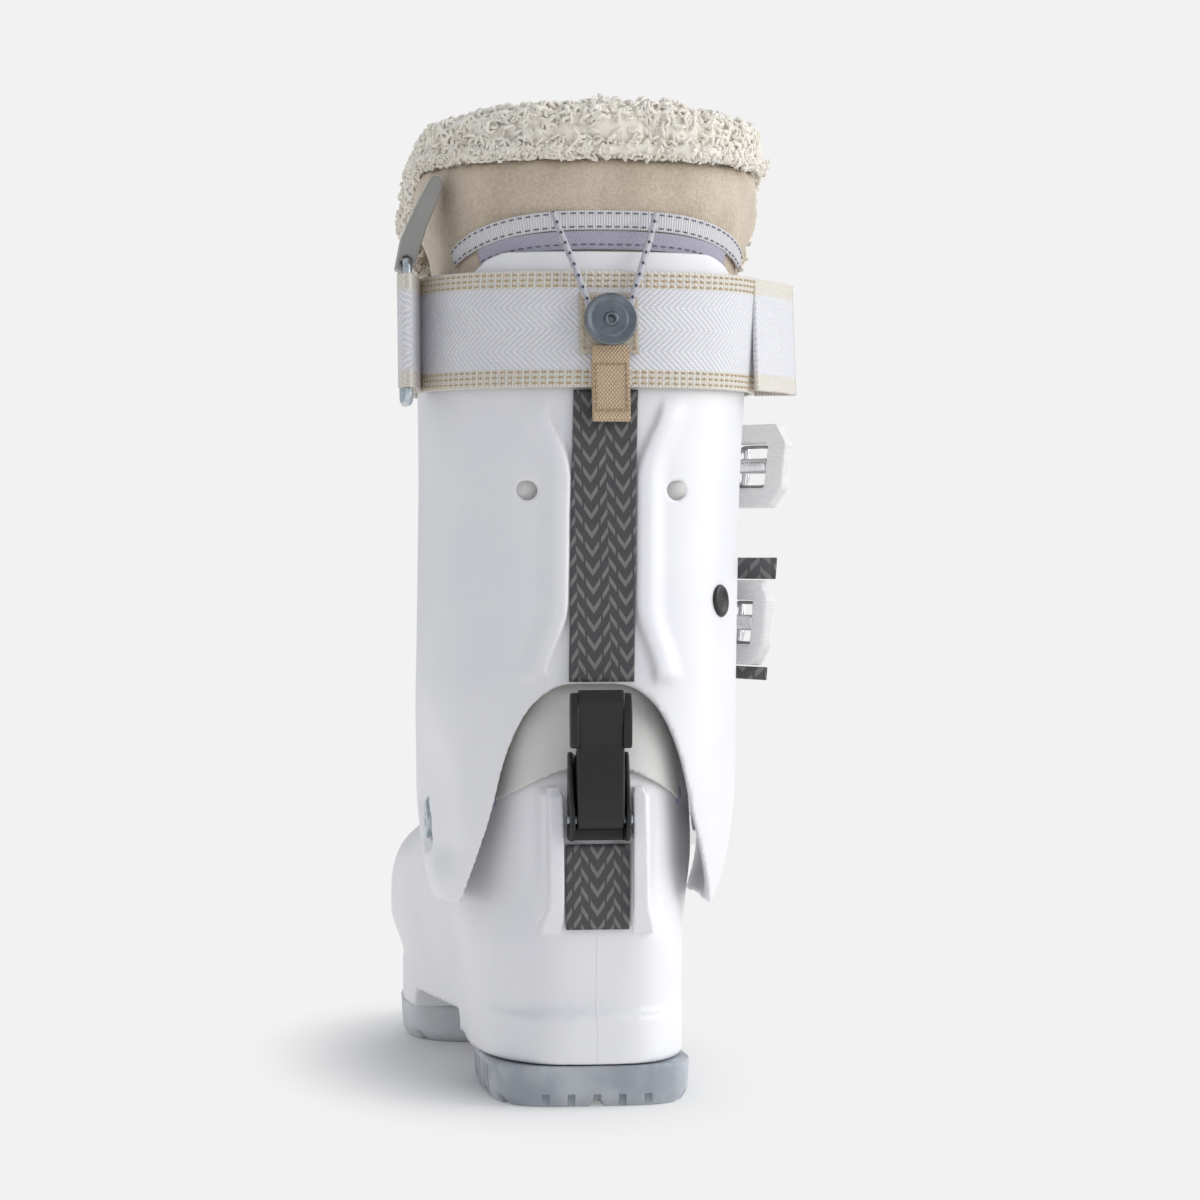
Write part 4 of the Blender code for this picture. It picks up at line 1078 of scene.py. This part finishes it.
def fur_section(angle, count):
    """One turn of the fur roll's outline, fuller and lower round the front half."""
    rear = smooth(LINER_REAR, LINER_TOP)
    front = smooth(LINER_FRONT, LINER_TOP)
    half = smooth(LINER_HALF, LINER_TOP)
    c = math.cos(angle)
    s = math.sin(angle)
    outward = Vector((s, -c, 0))
    rim = Vector((signed_power(s, LINER_BLUNT) * half + smooth(LEAN, LINER_TOP),
                  (front + rear) / 2 - (front - rear) / 2 * signed_power(c, LINER_BLUNT), 0))
    hang = fade(-c, -0.15, 0.45)
    out = 2.5 + 6 * hang
    low = LINER_TOP - 1.0 - 32.0 * hang
    shelf = LINER_TOP + 0.7
    top = FUR_TOP - 0.8 - 3.5 * abs(s)
    lean = 5.0 * s * s * (1 - 0.6 * hang)
    profile = ((-11, shelf), (-12.5, shelf + 8), (-8 - 0.6 * lean, top - 3), (-4 - lean, top),
               (-1.5 * hang - lean, top - 3), (2.5 + 2.5 * hang - 0.5 * lean, (top + low) / 2 + 4),
               (out - 0.2 * lean, low + 4 + 9 * hang), (out - 1.8, low),
               (1.0, low + 1), (1.2, shelf))
    corners = [rim + outward * reach + Vector((0, 0, z)) for reach, z in profile]
    return curve_through(corners, count, closed=True)


def clump(point):
    """How far the fleece stands out at a point: broad soft locks with smaller ones on them."""
    distances, _ = noise.voronoi(point / 9.0)
    small, _ = noise.voronoi(point / 3.8)
    lock = 1.0 - min(distances[0] * 1.2, 1.0) ** 2
    return 2.4 * lock + 1.7 * (1.0 - min(small[0] * 1.3, 1.0) ** 2) + 0.4 * noise.noise(point / 1.5)


def make_fur():
    """The fleece collar, whose skin stands out in locks."""
    rings = [fur_section(angle, 5) for angle in even_angles(300)]
    fur = loft("fur_fleece", rings, closed=True)
    mesh = fur.data
    normals = [vertex.normal.copy() for vertex in mesh.vertices]
    starts = [vertex.co.copy() for vertex in mesh.vertices]
    for vertex, normal, start in zip(mesh.vertices, normals, starts):
        vertex.co = start + normal * (clump(start / MM) - 3.0) * MM
    mesh.update()
    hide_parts("fur_collar")
    dress(fur, "fur", "cuff_body")
    make_wool(starts, normals)


def wool_loop(root, normal):
    """The path of one small loop of wool, with both ends in the fleece."""
    steps = 7
    lean = Vector(RNG.normal(0, 1, 3))
    lean = (lean - normal * lean.dot(normal)).normalized()
    curl = normal.cross(lean) * float(RNG.choice((-1, 1)))
    length = float(RNG.uniform(3.0, 5.2))
    path = []
    for k in range(steps):
        t = k / (steps - 1)
        path.append(root + normal * length * 1.9 * t * (1 - t) + lean * length * 0.8 * (t - 0.5)
                    + curl * length * 0.3 * math.sin(2 * math.pi * t))
    return path


def make_wool(starts, normals):
    """Small loops of wool all over the fleece."""
    points = []
    faces = []
    sides = 4
    for index in RNG.choice(len(starts), size=WOOL_LOOPS, replace=False):
        normal = normals[index]
        root = starts[index] / MM - FRAME + normal * (clump(starts[index] / MM) - 3.9)
        path = wool_loop(root, normal)
        rings, _ = tube_path(path, float(RNG.uniform(0.5, 0.8)), sides)
        faces += ring_faces(len(rings), sides, len(points)) + end_faces(len(rings), sides, len(points))
        points += [point for ring in rings for point in ring]
    curls = add_mesh("fur_curls", points, faces)
    dress(curls, "fur", "cuff_body")


def trim_path(liner, top, reach, radius, fall, steps):
    """A band's middle line on the liner: flat over the spine and bent down at both ends."""
    points = []
    normals = []
    for i in range(steps):
        x = -reach + 2 * reach * i / (steps - 1)
        drop = fall * (1 - (1 - (abs(x) / radius) ** 2.8) ** (1 / 2.8))
        point, normal = liner.behind(x + smooth(LEAN, top), top - drop)
        points.append(point)
        normals.append(normal)
    across = [normal.cross(along).normalized() for normal, along in zip(normals, directions(points))]
    return points, normals, across


def stitch_row(points, normals, pitch, lift, radius=0.28):
    """Places for stitches at an even pitch along a line."""
    places = []
    travelled = 0.0
    wanted = pitch / 2
    for i in range(1, len(points)):
        step = (points[i] - points[i - 1]).length
        while step and travelled + step >= wanted:
            t = (wanted - travelled) / step
            point = points[i - 1].lerp(points[i], t) + normals[i] * (lift + radius * 0.3)
            places.append((point, (points[i] - points[i - 1]).normalized(), normals[i]))
            wanted += pitch
        travelled += step
    return places


def make_trim(liner):
    """The ribbed tape and the woven band that arch over the cuff's edge."""
    lift = 0.8
    places = []
    for name, node, look, top, width, reach, radius, fall in (
            ("tape_band", "liner_tape", "tape", 294.3, 6.4, 49, 50.5, 20),
            ("mesh_band", "liner_mesh", "lilac_mesh", 287.4, 6.2, 41, 44, 12)):
        points, normals, across = trim_path(liner, top, reach, radius, fall, 120)
        piece = band(name, points, normals, across, width, 0.8, lift)
        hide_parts(node)
        dress(piece, look, "cuff_body")
        offsets = (2.3, -2.3) if node == "liner_tape" else (-1.4,)
        for offset in offsets:
            line = [point + side * offset for point, side in zip(points, across)]
            places += stitch_row(line, normals, 3.0, lift + 0.8)
    stitches = scattered("tape_stitches", places, 1.9, 0.26)
    dress(stitches, "dark_thread", "cuff_body")


# The strap and what is on it

def around(surface, z, centre_y, start, end, count):
    """Points and level normals round a surface at one height, from one angle in degrees to another."""
    points = []
    normals = []
    for i in range(count):
        angle = math.radians(start + (end - start) * i / (count - 1))
        direction = (math.cos(angle), math.sin(angle), 0)
        point, normal = surface.towards((smooth(LEAN, z), centre_y, z), direction)
        points.append(point)
        normals.append(Vector((normal.x, normal.y, 0)).normalized())
    return points, normals


def make_strap(cuff):
    """The webbing round the cuff, with three rows of stitches along each edge."""
    count = 260
    lows, normals = around(cuff, STRAP_LOW, 90, -168, 150, count)
    highs, _ = around(cuff, STRAP_HIGH, 96, -168, 150, count)
    middles = [(a + b) / 2 for a, b in zip(lows, highs)]
    across = [(b - a).normalized() for a, b in zip(lows, highs)]
    strap = band("strap_webbing", middles, normals, across, STRAP_WIDTH, STRAP_THICK, STRAP_LIFT)
    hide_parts("power_strap")
    dress(strap, "strap_web", "cuff_body")
    places = []
    for edge in (-1, 1):
        for inset in (1.4, 3.3, 5.2):
            line = [m + a * edge * (STRAP_WIDTH / 2 - inset) for m, a in zip(middles, across)]
            places += stitch_row(line, normals, 2.7, STRAP_FACE, 0.34)
    stitches = scattered("strap_stitches", places, 1.75, 0.34)
    dress(stitches, "beige_thread", "cuff_body")


def above_strap(cuff, angle, lift):
    """A point above the strap's middle line, at an angle in degrees round the cuff."""
    points, normals = around(cuff, STRAP_MIDDLE, 92, angle, angle + 1, 2)
    return points[0] + normals[0] * lift


def make_strap_fold(cuff):
    """The strap doubles back at the lateral side and stands a little off the cuff."""
    first = above_strap(cuff, -34, STRAP_FACE + 0.4)
    last = above_strap(cuff, 6, STRAP_FACE + 0.4)
    tip = Vector((last.x + 12.0, last.y - 8.0, STRAP_MIDDLE))
    path = curve_through([first, first.lerp(tip, 0.55) + Vector((1.5, -1.0, 0)), tip,
                          tip + Vector((0.6, 2.6, 0)), tip + Vector((-2.4, 4.0, 0)), last], 10)
    up = Vector((0, 0.19, 1)).normalized()
    normals = [along.cross(up).normalized() for along in directions(path)]
    fold = band("strap_fold", path, normals, up, STRAP_WIDTH - 0.6, 1.4, 0.0)
    dress(fold, "strap_web", "cuff_body")
    edge = curve_through([tip + up * (STRAP_WIDTH / 2) * t for t in (-0.98, -0.5, 0, 0.5, 0.98)], 6)
    piping = tube("strap_fold_edge", [point + Vector((0.9, 0.4, 0)) for point in edge], 0.8, 10)
    dress(piping, "beige_patch", "cuff_body")


def make_strap_loop(cuff):
    """The strap's medial end, turned back round the ring's bar."""
    bar = Vector(JOINTS["ring_swing"]["pos_m"]) / MM - FRAME
    reach = 2.4
    turn = ((0.4, -reach - 0.6), (-reach, -0.6), (-1.6, reach), (1.4, reach - 0.2))
    points = [above_strap(cuff, -164, STRAP_FACE + 0.3)] + [bar + Vector((x, y, 0)) for x, y in turn]
    path = curve_through(points, 8)
    up = Vector((0, 0.14, 1)).normalized()
    normals = [up.cross(along).normalized() for along in directions(path)]
    loop = band("strap_loop", path, normals, up, STRAP_WIDTH - 1.0, 1.2, 0.0)
    dress(loop, "strap_web", "cuff_body")


class StudFrame:
    """Places on the strap round the stud: x to the side, rise up the strap, lift out of the cuff."""

    def __init__(self, cuff):
        self.base, normal = cuff.behind(smooth(LEAN, STUD_Z), STUD_Z)
        self.out = Vector((0, normal.y, normal.z)).normalized()
        self.up = Vector((0, self.out.z, -self.out.y))
        self.side = Vector((1, 0, 0))

    def at(self, x, rise, lift):
        return self.base + self.side * x + self.up * rise + self.out * lift


def make_stud(spot):
    """The dished metal disc on its neck."""
    foot = STRAP_FACE + 1.8
    outline = ((0, 3.4), (3.4, 3.4), (3.5, 8.2), (3.9, 8.8), (4.6, 9.0), (5.3, 8.9), (5.6, 8.5),
               (5.5, 8.0), (5.1, 6.8), (4.9, 6.0), (5.15, 5.6), (5.2, 5.0), (5.05, 3.2), (5.1, 2.6),
               (5.9, 2.2), (6.1, 1.9), (6.0, 1.5), (5.6, 1.2), (4.4, 1.1))
    profile = [(foot + height, radius) for height, radius in outline]
    stud = loft("stud_disc", turned(profile, spot.base, spot.out, spot.side, spot.up, 72))
    stud.data.set_sharp_from_angle(angle=math.radians(50))
    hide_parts("cord_stud")
    dress(stud, "stud_metal", "cuff_body")


def make_patch(spot):
    """The square patch under the stud, a little wavy, stitched along its four edges."""
    count = 25
    points = []
    uvs = []
    for row in range(count):
        for i in range(count):
            wave = 0.12 * math.sin(i * 1.3) * math.sin(row)
            points.append(spot.at(-10 + 20 * i / 24, -10.5 + 21 * row / 24, STRAP_FACE + 0.75 + wave))
            uvs.append(((i - 12) * 0.083, (row - 12) * 0.0875))
    faces = []
    for row in range(count - 1):
        for i in range(count - 1):
            below = row * count + i
            faces.append((below, below + 1, below + count + 1, below + count))
    patch = add_mesh("stud_patch", points, faces, uvs)
    bake(patch, ("SOLIDIFY", {"thickness": 0.7 * MM, "offset": 0.0}))
    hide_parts("strap_patch")
    dress(patch, "beige_patch", "cuff_body")
    places = []
    for edge in range(4):
        along = spot.side if edge < 2 else spot.up
        for i in range(9):
            t = -8.4 + 2.1 * i
            x, rise = ((t, 8.8), (t, -8.8), (8.6, t), (-8.6, t))[edge]
            places.append((spot.at(x, rise, STRAP_FACE + 1.2), along, spot.out))
    stitches = scattered("patch_stitches", places, 1.4, 0.28)
    dress(stitches, "beige_thread", "cuff_body")


def make_tab(spot):
    """The tab hangs from under the stud and is folded at its lower end."""
    route = ((-8, 2.6), (-12, 2.5), (-18, 2.4), (-25, 2.3), (-30, 2.25), (-32.4, 1.9), (-32.9, 1.2),
             (-32.2, 0.75), (-29, 0.7), (-20, 0.7), (-13, 0.7))
    path = curve_through([spot.at(0, rise, STRAP_FACE + lift) for rise, lift in route], 6)
    normals = [along.cross(spot.side).normalized() for along in directions(path)]
    tab = band("tab_webbing", path, normals, spot.side, 12.4, 0.9, -0.1)
    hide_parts("pull_tab")
    dress(tab, "tan_web", "cuff_body")
    lift = STRAP_FACE + 3.4
    places = []
    for rise in (-14.5, -30.2):
        places += [(spot.at(-5 + 2 * i, rise, lift), spot.side, spot.out) for i in range(6)]
    for x in (-5.2, 5.2):
        places += [(spot.at(x, -16 - 2.1 * i, lift), spot.up, spot.out) for i in range(7)]
    stitches = scattered("tab_stitches", places, 1.5, 0.3)
    dress(stitches, "tan_thread", "cuff_body")


def make_cord(spot):
    """The cord, along the same route as its solid: from the tape round the stud's neck and back."""
    neck = STRAP_FACE + 1.4 + 0.4 + 1.7
    half = ((-17.5, 39, 1.2), (-15.8, 33, 2.4), (-13.6, 26, 4.4), (-11.0, 18, neck - 0.6),
            (-7.4, 7, neck), (-5.6, 0, neck), (-4.0, -3.9, neck), (0, -5.6, neck))
    route = [spot.at(x, rise, lift) for x, rise, lift in half]
    route += [spot.at(-x, rise, lift) for x, rise, lift in reversed(half[:-1])]
    cord = tube("cord_line", curve_through(route, 8), 1.12, 16)
    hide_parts("cord_loop")
    dress(cord, "cord", "cuff_body")


# Small hardware, refined from its solids

def make_hardware():
    """Finer copies of the small solids, and the looks of pins and screws."""
    finer = {
        "spine_lever": (0.55, 4, "black_lever", "black_lever"),
        "lever_frame": (0.5, 3, "black_lever", "black_lever"),
        "strap_cam_lever": (0.7, 5, "grey_plastic", "grey_plastic"),
        "strap_ring": (0.4, 3, "zinc", "zinc"),
        "heel_sole": (0.9, 2, "sole_rubber", "sole_rubber"),
        "toe_sole": (0.9, 2, "toe_rubber", "sole_rubber"),
        "pivot_rivet_medial": (0.45, 2, "zinc", "zinc"),
        "pivot_rivet_lateral": (0.45, 2, "zinc", "zinc"),
        "insole": (2.0, 3, "board", "board"),
        "boot_board": (2.0, 3, "board", "board"),
    }
    for number in range(1, 5):
        finer[f"buckle_{number}_lever"] = (0.55, 4, "white_lever", "white_lever")
        finer[f"buckle_{number}_base"] = (0.5, 3, "white_lever", "white_lever")
        finer[f"buckle_{number}_bail"] = (0.35, 3, "chrome", "chrome")
        finer[f"buckle_{number}_ladder"] = (0.4, 3, "chrome", "chrome")
    for node, (voxel, rounds, look, slot) in finer.items():
        dress(refined(node, voxel, rounds), look, node_body(node))
    cut_lugs(bpy.data.objects["heel_sole_fine"])
    for node in frame["nodes"]:
        if "screw" in node or node.endswith("_pin"):
            dress(frame["nodes"][node], "zinc")


def cut_lugs(sole):
    """Notches along the heel pad's rear edge and grooves up its flanks."""
    cutters = []
    for i in range(7):
        x = -25.5 + 8.5 * i
        cutters.append(box("lug_cut", (x - 1.3, -3, -1), (x + 1.3, 3.6, 4.2)))
    for side, _ in SIDES:
        x = side * 36.5
        for i in range(9):
            y = 12 + 7.0 * i
            cutters.append(box("flank_cut", (x - 3.4, y - 1.0, 2.6), (x + 3.4, y + 1.0, 11.5)))
    cut(sole, cutters)


def make_lever_flanges():
    """The wide head at the top of the spine lever, one flange on each side."""
    corners = [(-10.2, 118.5), (-5.6, 118.5), (-4.6, 130), (-5.0, 136.6), (-9.4, 136.6), (-10.6, 130)]
    outline = softened(corners, 1.6)
    for side, label in SIDES:
        low, high = sorted((side * 7.2, side * 10.1))
        flange = flat_prism(f"lever_flange_{label}", outline, "x", low, high)
        remesh(flange, 0.45, 4)
        dress(flange, "black_lever", "spine_lever_body")


def lever_axes(number):
    """A buckle's pin, and its directions: out of the boot, along the lever and along the pin."""
    pin = Vector(JOINTS[f"buckle_{number}_lever_hinge"]["pos_m"]) / MM - FRAME
    hinge = Vector(JOINTS[f"buckle_{number}_bail_hinge"]["pos_m"]) / MM - FRAME
    across = Vector(JOINTS[f"buckle_{number}_lever_hinge"]["axis"]).normalized()
    # The bail's hinge lies 23.5 along the lever and 3.8 further out than the pin.
    offset = hinge - pin
    offset -= across * offset.dot(across)
    tilt = math.atan2(3.8, 23.5)
    along = Matrix.Rotation(-tilt, 3, across) @ offset.normalized()
    outward = across.cross(along)
    return pin, outward.normalized(), along.normalized(), across


def buckle_spot(axes, t, n, w):
    """A place in a buckle's own layout, where the pin is at t = -7 and n = 7.4."""
    pin, outward, along, across = axes
    return pin + along * (t + 7.0) + outward * (n - 7.4) + across * w


def make_buckle_details(number):
    """The adjuster, which is a threaded barrel in the lever's window between two lugs, and the rim."""
    axes = lever_axes(number)
    body = f"buckle_{number}_lever_body"
    path = [buckle_spot(axes, 18.5 + 13.5 * i / 90, 7.3, 0) for i in range(91)]
    thread = 13.5 / 1.1 * 2 * math.pi
    barrel = tube(f"buckle_{number}_barrel", path, lambda t: 2.5 + 0.28 * math.sin(t * thread), 28)
    dress(barrel, "chrome", body)
    path = [buckle_spot(axes, 16.5, 10.4, -7.9 + 15.8 * i / 8) for i in range(9)]
    lug = tube(f"buckle_{number}_lug", path, 1.0, 14)
    dress(lug, "chrome", body)
    ring = []
    for a in even_angles(96):
        t = 14.0 + 18.0 * (0.5 + 0.5 * signed_power(math.cos(a), 0.35))
        ring.append(buckle_spot(axes, t, 8.9, 7.2 * signed_power(math.sin(a), 0.35)))
    rim = tube(f"buckle_{number}_window_rim", ring, 0.62, 10, closed=True)
    dress(rim, "edge_grey", body)


def make_buckle_strap(number):
    """The dark patterned strap and its folded tongue, seen above and below the lower cuff lever."""
    pin, outward, along, across = lever_axes(number)
    if across.z < 0:
        across = -across
    axes = (pin, outward, along, across)
    body = f"buckle_{number}_lever_body"
    for label, low, high, start, end in (("upper", 15.6, 23.0, 3.0, 45.0),
                                         ("lower", -20.0, -15.6, 12.0, 44.0)):
        path = []
        for i in range(31):
            t = start + (end - start) * i / 30
            path.append(buckle_spot(axes, t, 7.4 - 0.004 * (i - 15) ** 2, (low + high) / 2))
        name = f"buckle_{number}_strap_{label}"
        piece = band(name, path, [outward] * len(path), across, high - low, 1.3, -0.7)
        dress(piece, "dark_strip", body)
    outline = softened([(-2.1, 0), (2.1, 0), (2.1, 14.5), (0.8, 16.5), (-2.1, 16.0)], 0.8)
    lean = (across * 0.93 + along * 0.36).normalized()
    wide = outward.cross(lean).normalized()
    rings = []
    for n in (8.4, 9.2, 9.9):
        foot = buckle_spot(axes, 4.0, n, 15.4)
        rings.append([foot + wide * a + lean * b for a, b in outline])
    dress(loft(f"buckle_{number}_tongue", rings), "board", body)


def make_extras(cuff, shell):
    """Small pieces that lie on the shells: the side rivet, black as painted shade for its hollow, and thin
    lilac strokes of painted shade in the gaps beside the gasket.
    """
    point, normal = cuff.towards((smooth(LEAN, 166), 80, 166), (0.66, -0.75, 0))
    side = Vector((0, 0, 1)).cross(normal).normalized()
    up = normal.cross(side)
    profile = ((-1.0, 5.6), (0.35, 5.5), (0.9, 5.0), (1.1, 4.2), (0.5, 3.4), (0.3, 1.8), (0.3, 0.2))
    # A real rivet, but black all over as painted shade for the hollow in its middle.
    rivet = loft("side_rivet", turned(profile, point, normal, side, up, 48))
    dress(rivet, "black_lever", "cuff_body")
    # Thin lilac strokes on the heel at the gasket's lower corners: painted shade for the gaps there.
    for sign, label in SIDES:
        place, out = shell.behind(sign * 30.5, 101)
        path = []
        for t in (0, 0.2, 0.4, 0.6, 0.8, 1):
            path.append(place + out * 0.25 + Vector((sign * 0.5 * math.sin(t * 3), 0, -3.2 + 6.4 * t)))
        mark = tube(f"heel_gap_shade_{label}", path, lambda t: 0.35 + 0.6 * math.sin(math.pi * t), 10)
        dress(mark, "lilac_gap_shade", "boot")


# The stage

VIEW_YAW = math.radians(7.5)
VIEW_DISTANCE = 1300.0
VIEW_HEIGHT = 184.0
VIEW_PITCH = math.radians(0.76)
LENS_MM = 119.0
BACKDROP = 0.888
FLOOR_WHITE = 0.84
SHADOW_SHIFT = (26.3, 7.8)
SHADOW_STRETCH = (1.15, 0.5)
SHADOW_REACH = (36.0, 112.0)
SKY_POWER = 0.6
KEY_POWER = 1.65
KEY_DIRECTION = (-0.87, 0.0, -0.5)
WINDOW_POWER = 3.5
WINDOW_PLACE = (1.3, -1.1, 0.5)
WINDOW_TARGET = (0, 0, 0.17)


def aimed(name, data, direction, place=(0, 0, 0)):
    """A lamp or camera at a place, looking along a direction."""
    holder = bpy.data.objects.new(name, data)
    holder.location = place
    holder.rotation_euler = Vector(direction).to_track_quat("-Z", "Y").to_euler()
    bpy.context.scene.collection.objects.link(holder)
    return holder


def make_stage():
    """A white floor that fades into an even backdrop, and the light of the sky."""
    bpy.ops.mesh.primitive_circle_add(vertices=96, radius=6.0, fill_type="NGON")
    floor = bpy.context.object
    floor.name = "floor"
    look = Look("floor", (FLOOR_WHITE, FLOOR_WHITE, FLOOR_WHITE), 1.0, Specular_IOR_Level=0.0)
    x, y, _ = look.axes(look.place)[:3]
    squares = []
    for value, shift, stretch in zip((x, y), SHADOW_SHIFT, SHADOW_STRETCH):
        part = look.math("MULTIPLY", look.math("ADD", value, shift), stretch)
        squares.append(look.math("MULTIPLY", part, part))
    away = look.math("SQRT", look.math("ADD", *squares))
    far = look.step(away, *SHADOW_REACH)
    glow = look.add("ShaderNodeEmission", {"Color": (BACKDROP, BACKDROP, BACKDROP, 1), "Strength": 1.0})
    blend = look.add("ShaderNodeMixShader", {0: far, 1: look.shader.outputs[0], 2: glow.outputs[0]})
    output = next(node for node in look.tree.nodes if node.type == "OUTPUT_MATERIAL")
    look.tree.links.new(blend.outputs[0], output.inputs["Surface"])
    floor.data.materials.append(look.made)

    world = bpy.data.worlds.new("studio")
    bpy.context.scene.world = world
    world.use_nodes = True
    nodes = world.node_tree.nodes
    links = world.node_tree.links
    seen = nodes["Background"]
    seen.inputs["Color"].default_value = (BACKDROP, BACKDROP, BACKDROP, 1)
    light = nodes.new("ShaderNodeBackground")
    light.inputs["Color"].default_value = (0.93, 0.95, 1.0, 1)
    light.inputs["Strength"].default_value = SKY_POWER
    ray = nodes.new("ShaderNodeLightPath")
    choice = nodes.new("ShaderNodeMixShader")
    links.new(ray.outputs["Is Camera Ray"], choice.inputs[0])
    links.new(light.outputs[0], choice.inputs[1])
    links.new(seen.outputs[0], choice.inputs[2])
    links.new(choice.outputs[0], nodes["World Output"].inputs["Surface"])


def make_lights():
    """A broad key light from the lateral side and a faint window."""
    key = bpy.data.lights.new("key", "SUN")
    key.energy = KEY_POWER
    key.angle = math.radians(60)
    aimed("key", key, KEY_DIRECTION)
    window = bpy.data.lights.new("side_window", "AREA")
    window.shape = "RECTANGLE"
    window.size = 0.5
    window.size_y = 1.2
    window.energy = WINDOW_POWER
    aimed("side_window", window, Vector(WINDOW_TARGET) - Vector(WINDOW_PLACE), WINDOW_PLACE)


def make_camera():
    """A long lens behind the boot, at mid height."""
    forward = Vector((math.sin(VIEW_YAW), math.cos(VIEW_YAW), 0))
    right = Vector((math.cos(VIEW_YAW), -math.sin(VIEW_YAW), 0))
    place = right * 0.7 - forward * VIEW_DISTANCE + Vector((0, 0, VIEW_HEIGHT))
    data = bpy.data.cameras.new("camera")
    data.lens = LENS_MM
    data.sensor_width = 36.0
    aim = forward * math.cos(VIEW_PITCH) - Vector((0, 0, math.sin(VIEW_PITCH)))
    bpy.context.scene.camera = aimed("camera", data, aim, to_world(place))
    bpy.context.scene.view_settings.view_transform = "Standard"


make_looks()
make_camera()
make_lights()
make_stage()
shell_surface = make_shell()
make_towers()
cuff_surface = make_cuff()
make_strips(cuff_surface)
make_gasket()
liner_surface = make_liner()
make_tongue()
make_fur()
make_trim(liner_surface)
make_strap(cuff_surface)
make_strap_fold(cuff_surface)
make_strap_loop(cuff_surface)
stud_spot = StudFrame(cuff_surface)
make_stud(stud_spot)
make_patch(stud_spot)
make_tab(stud_spot)
make_cord(stud_spot)
make_hardware()
make_lever_flanges()
for buckle in range(1, 5):
    make_buckle_details(buckle)
make_buckle_strap(2)
make_extras(cuff_surface, shell_surface)
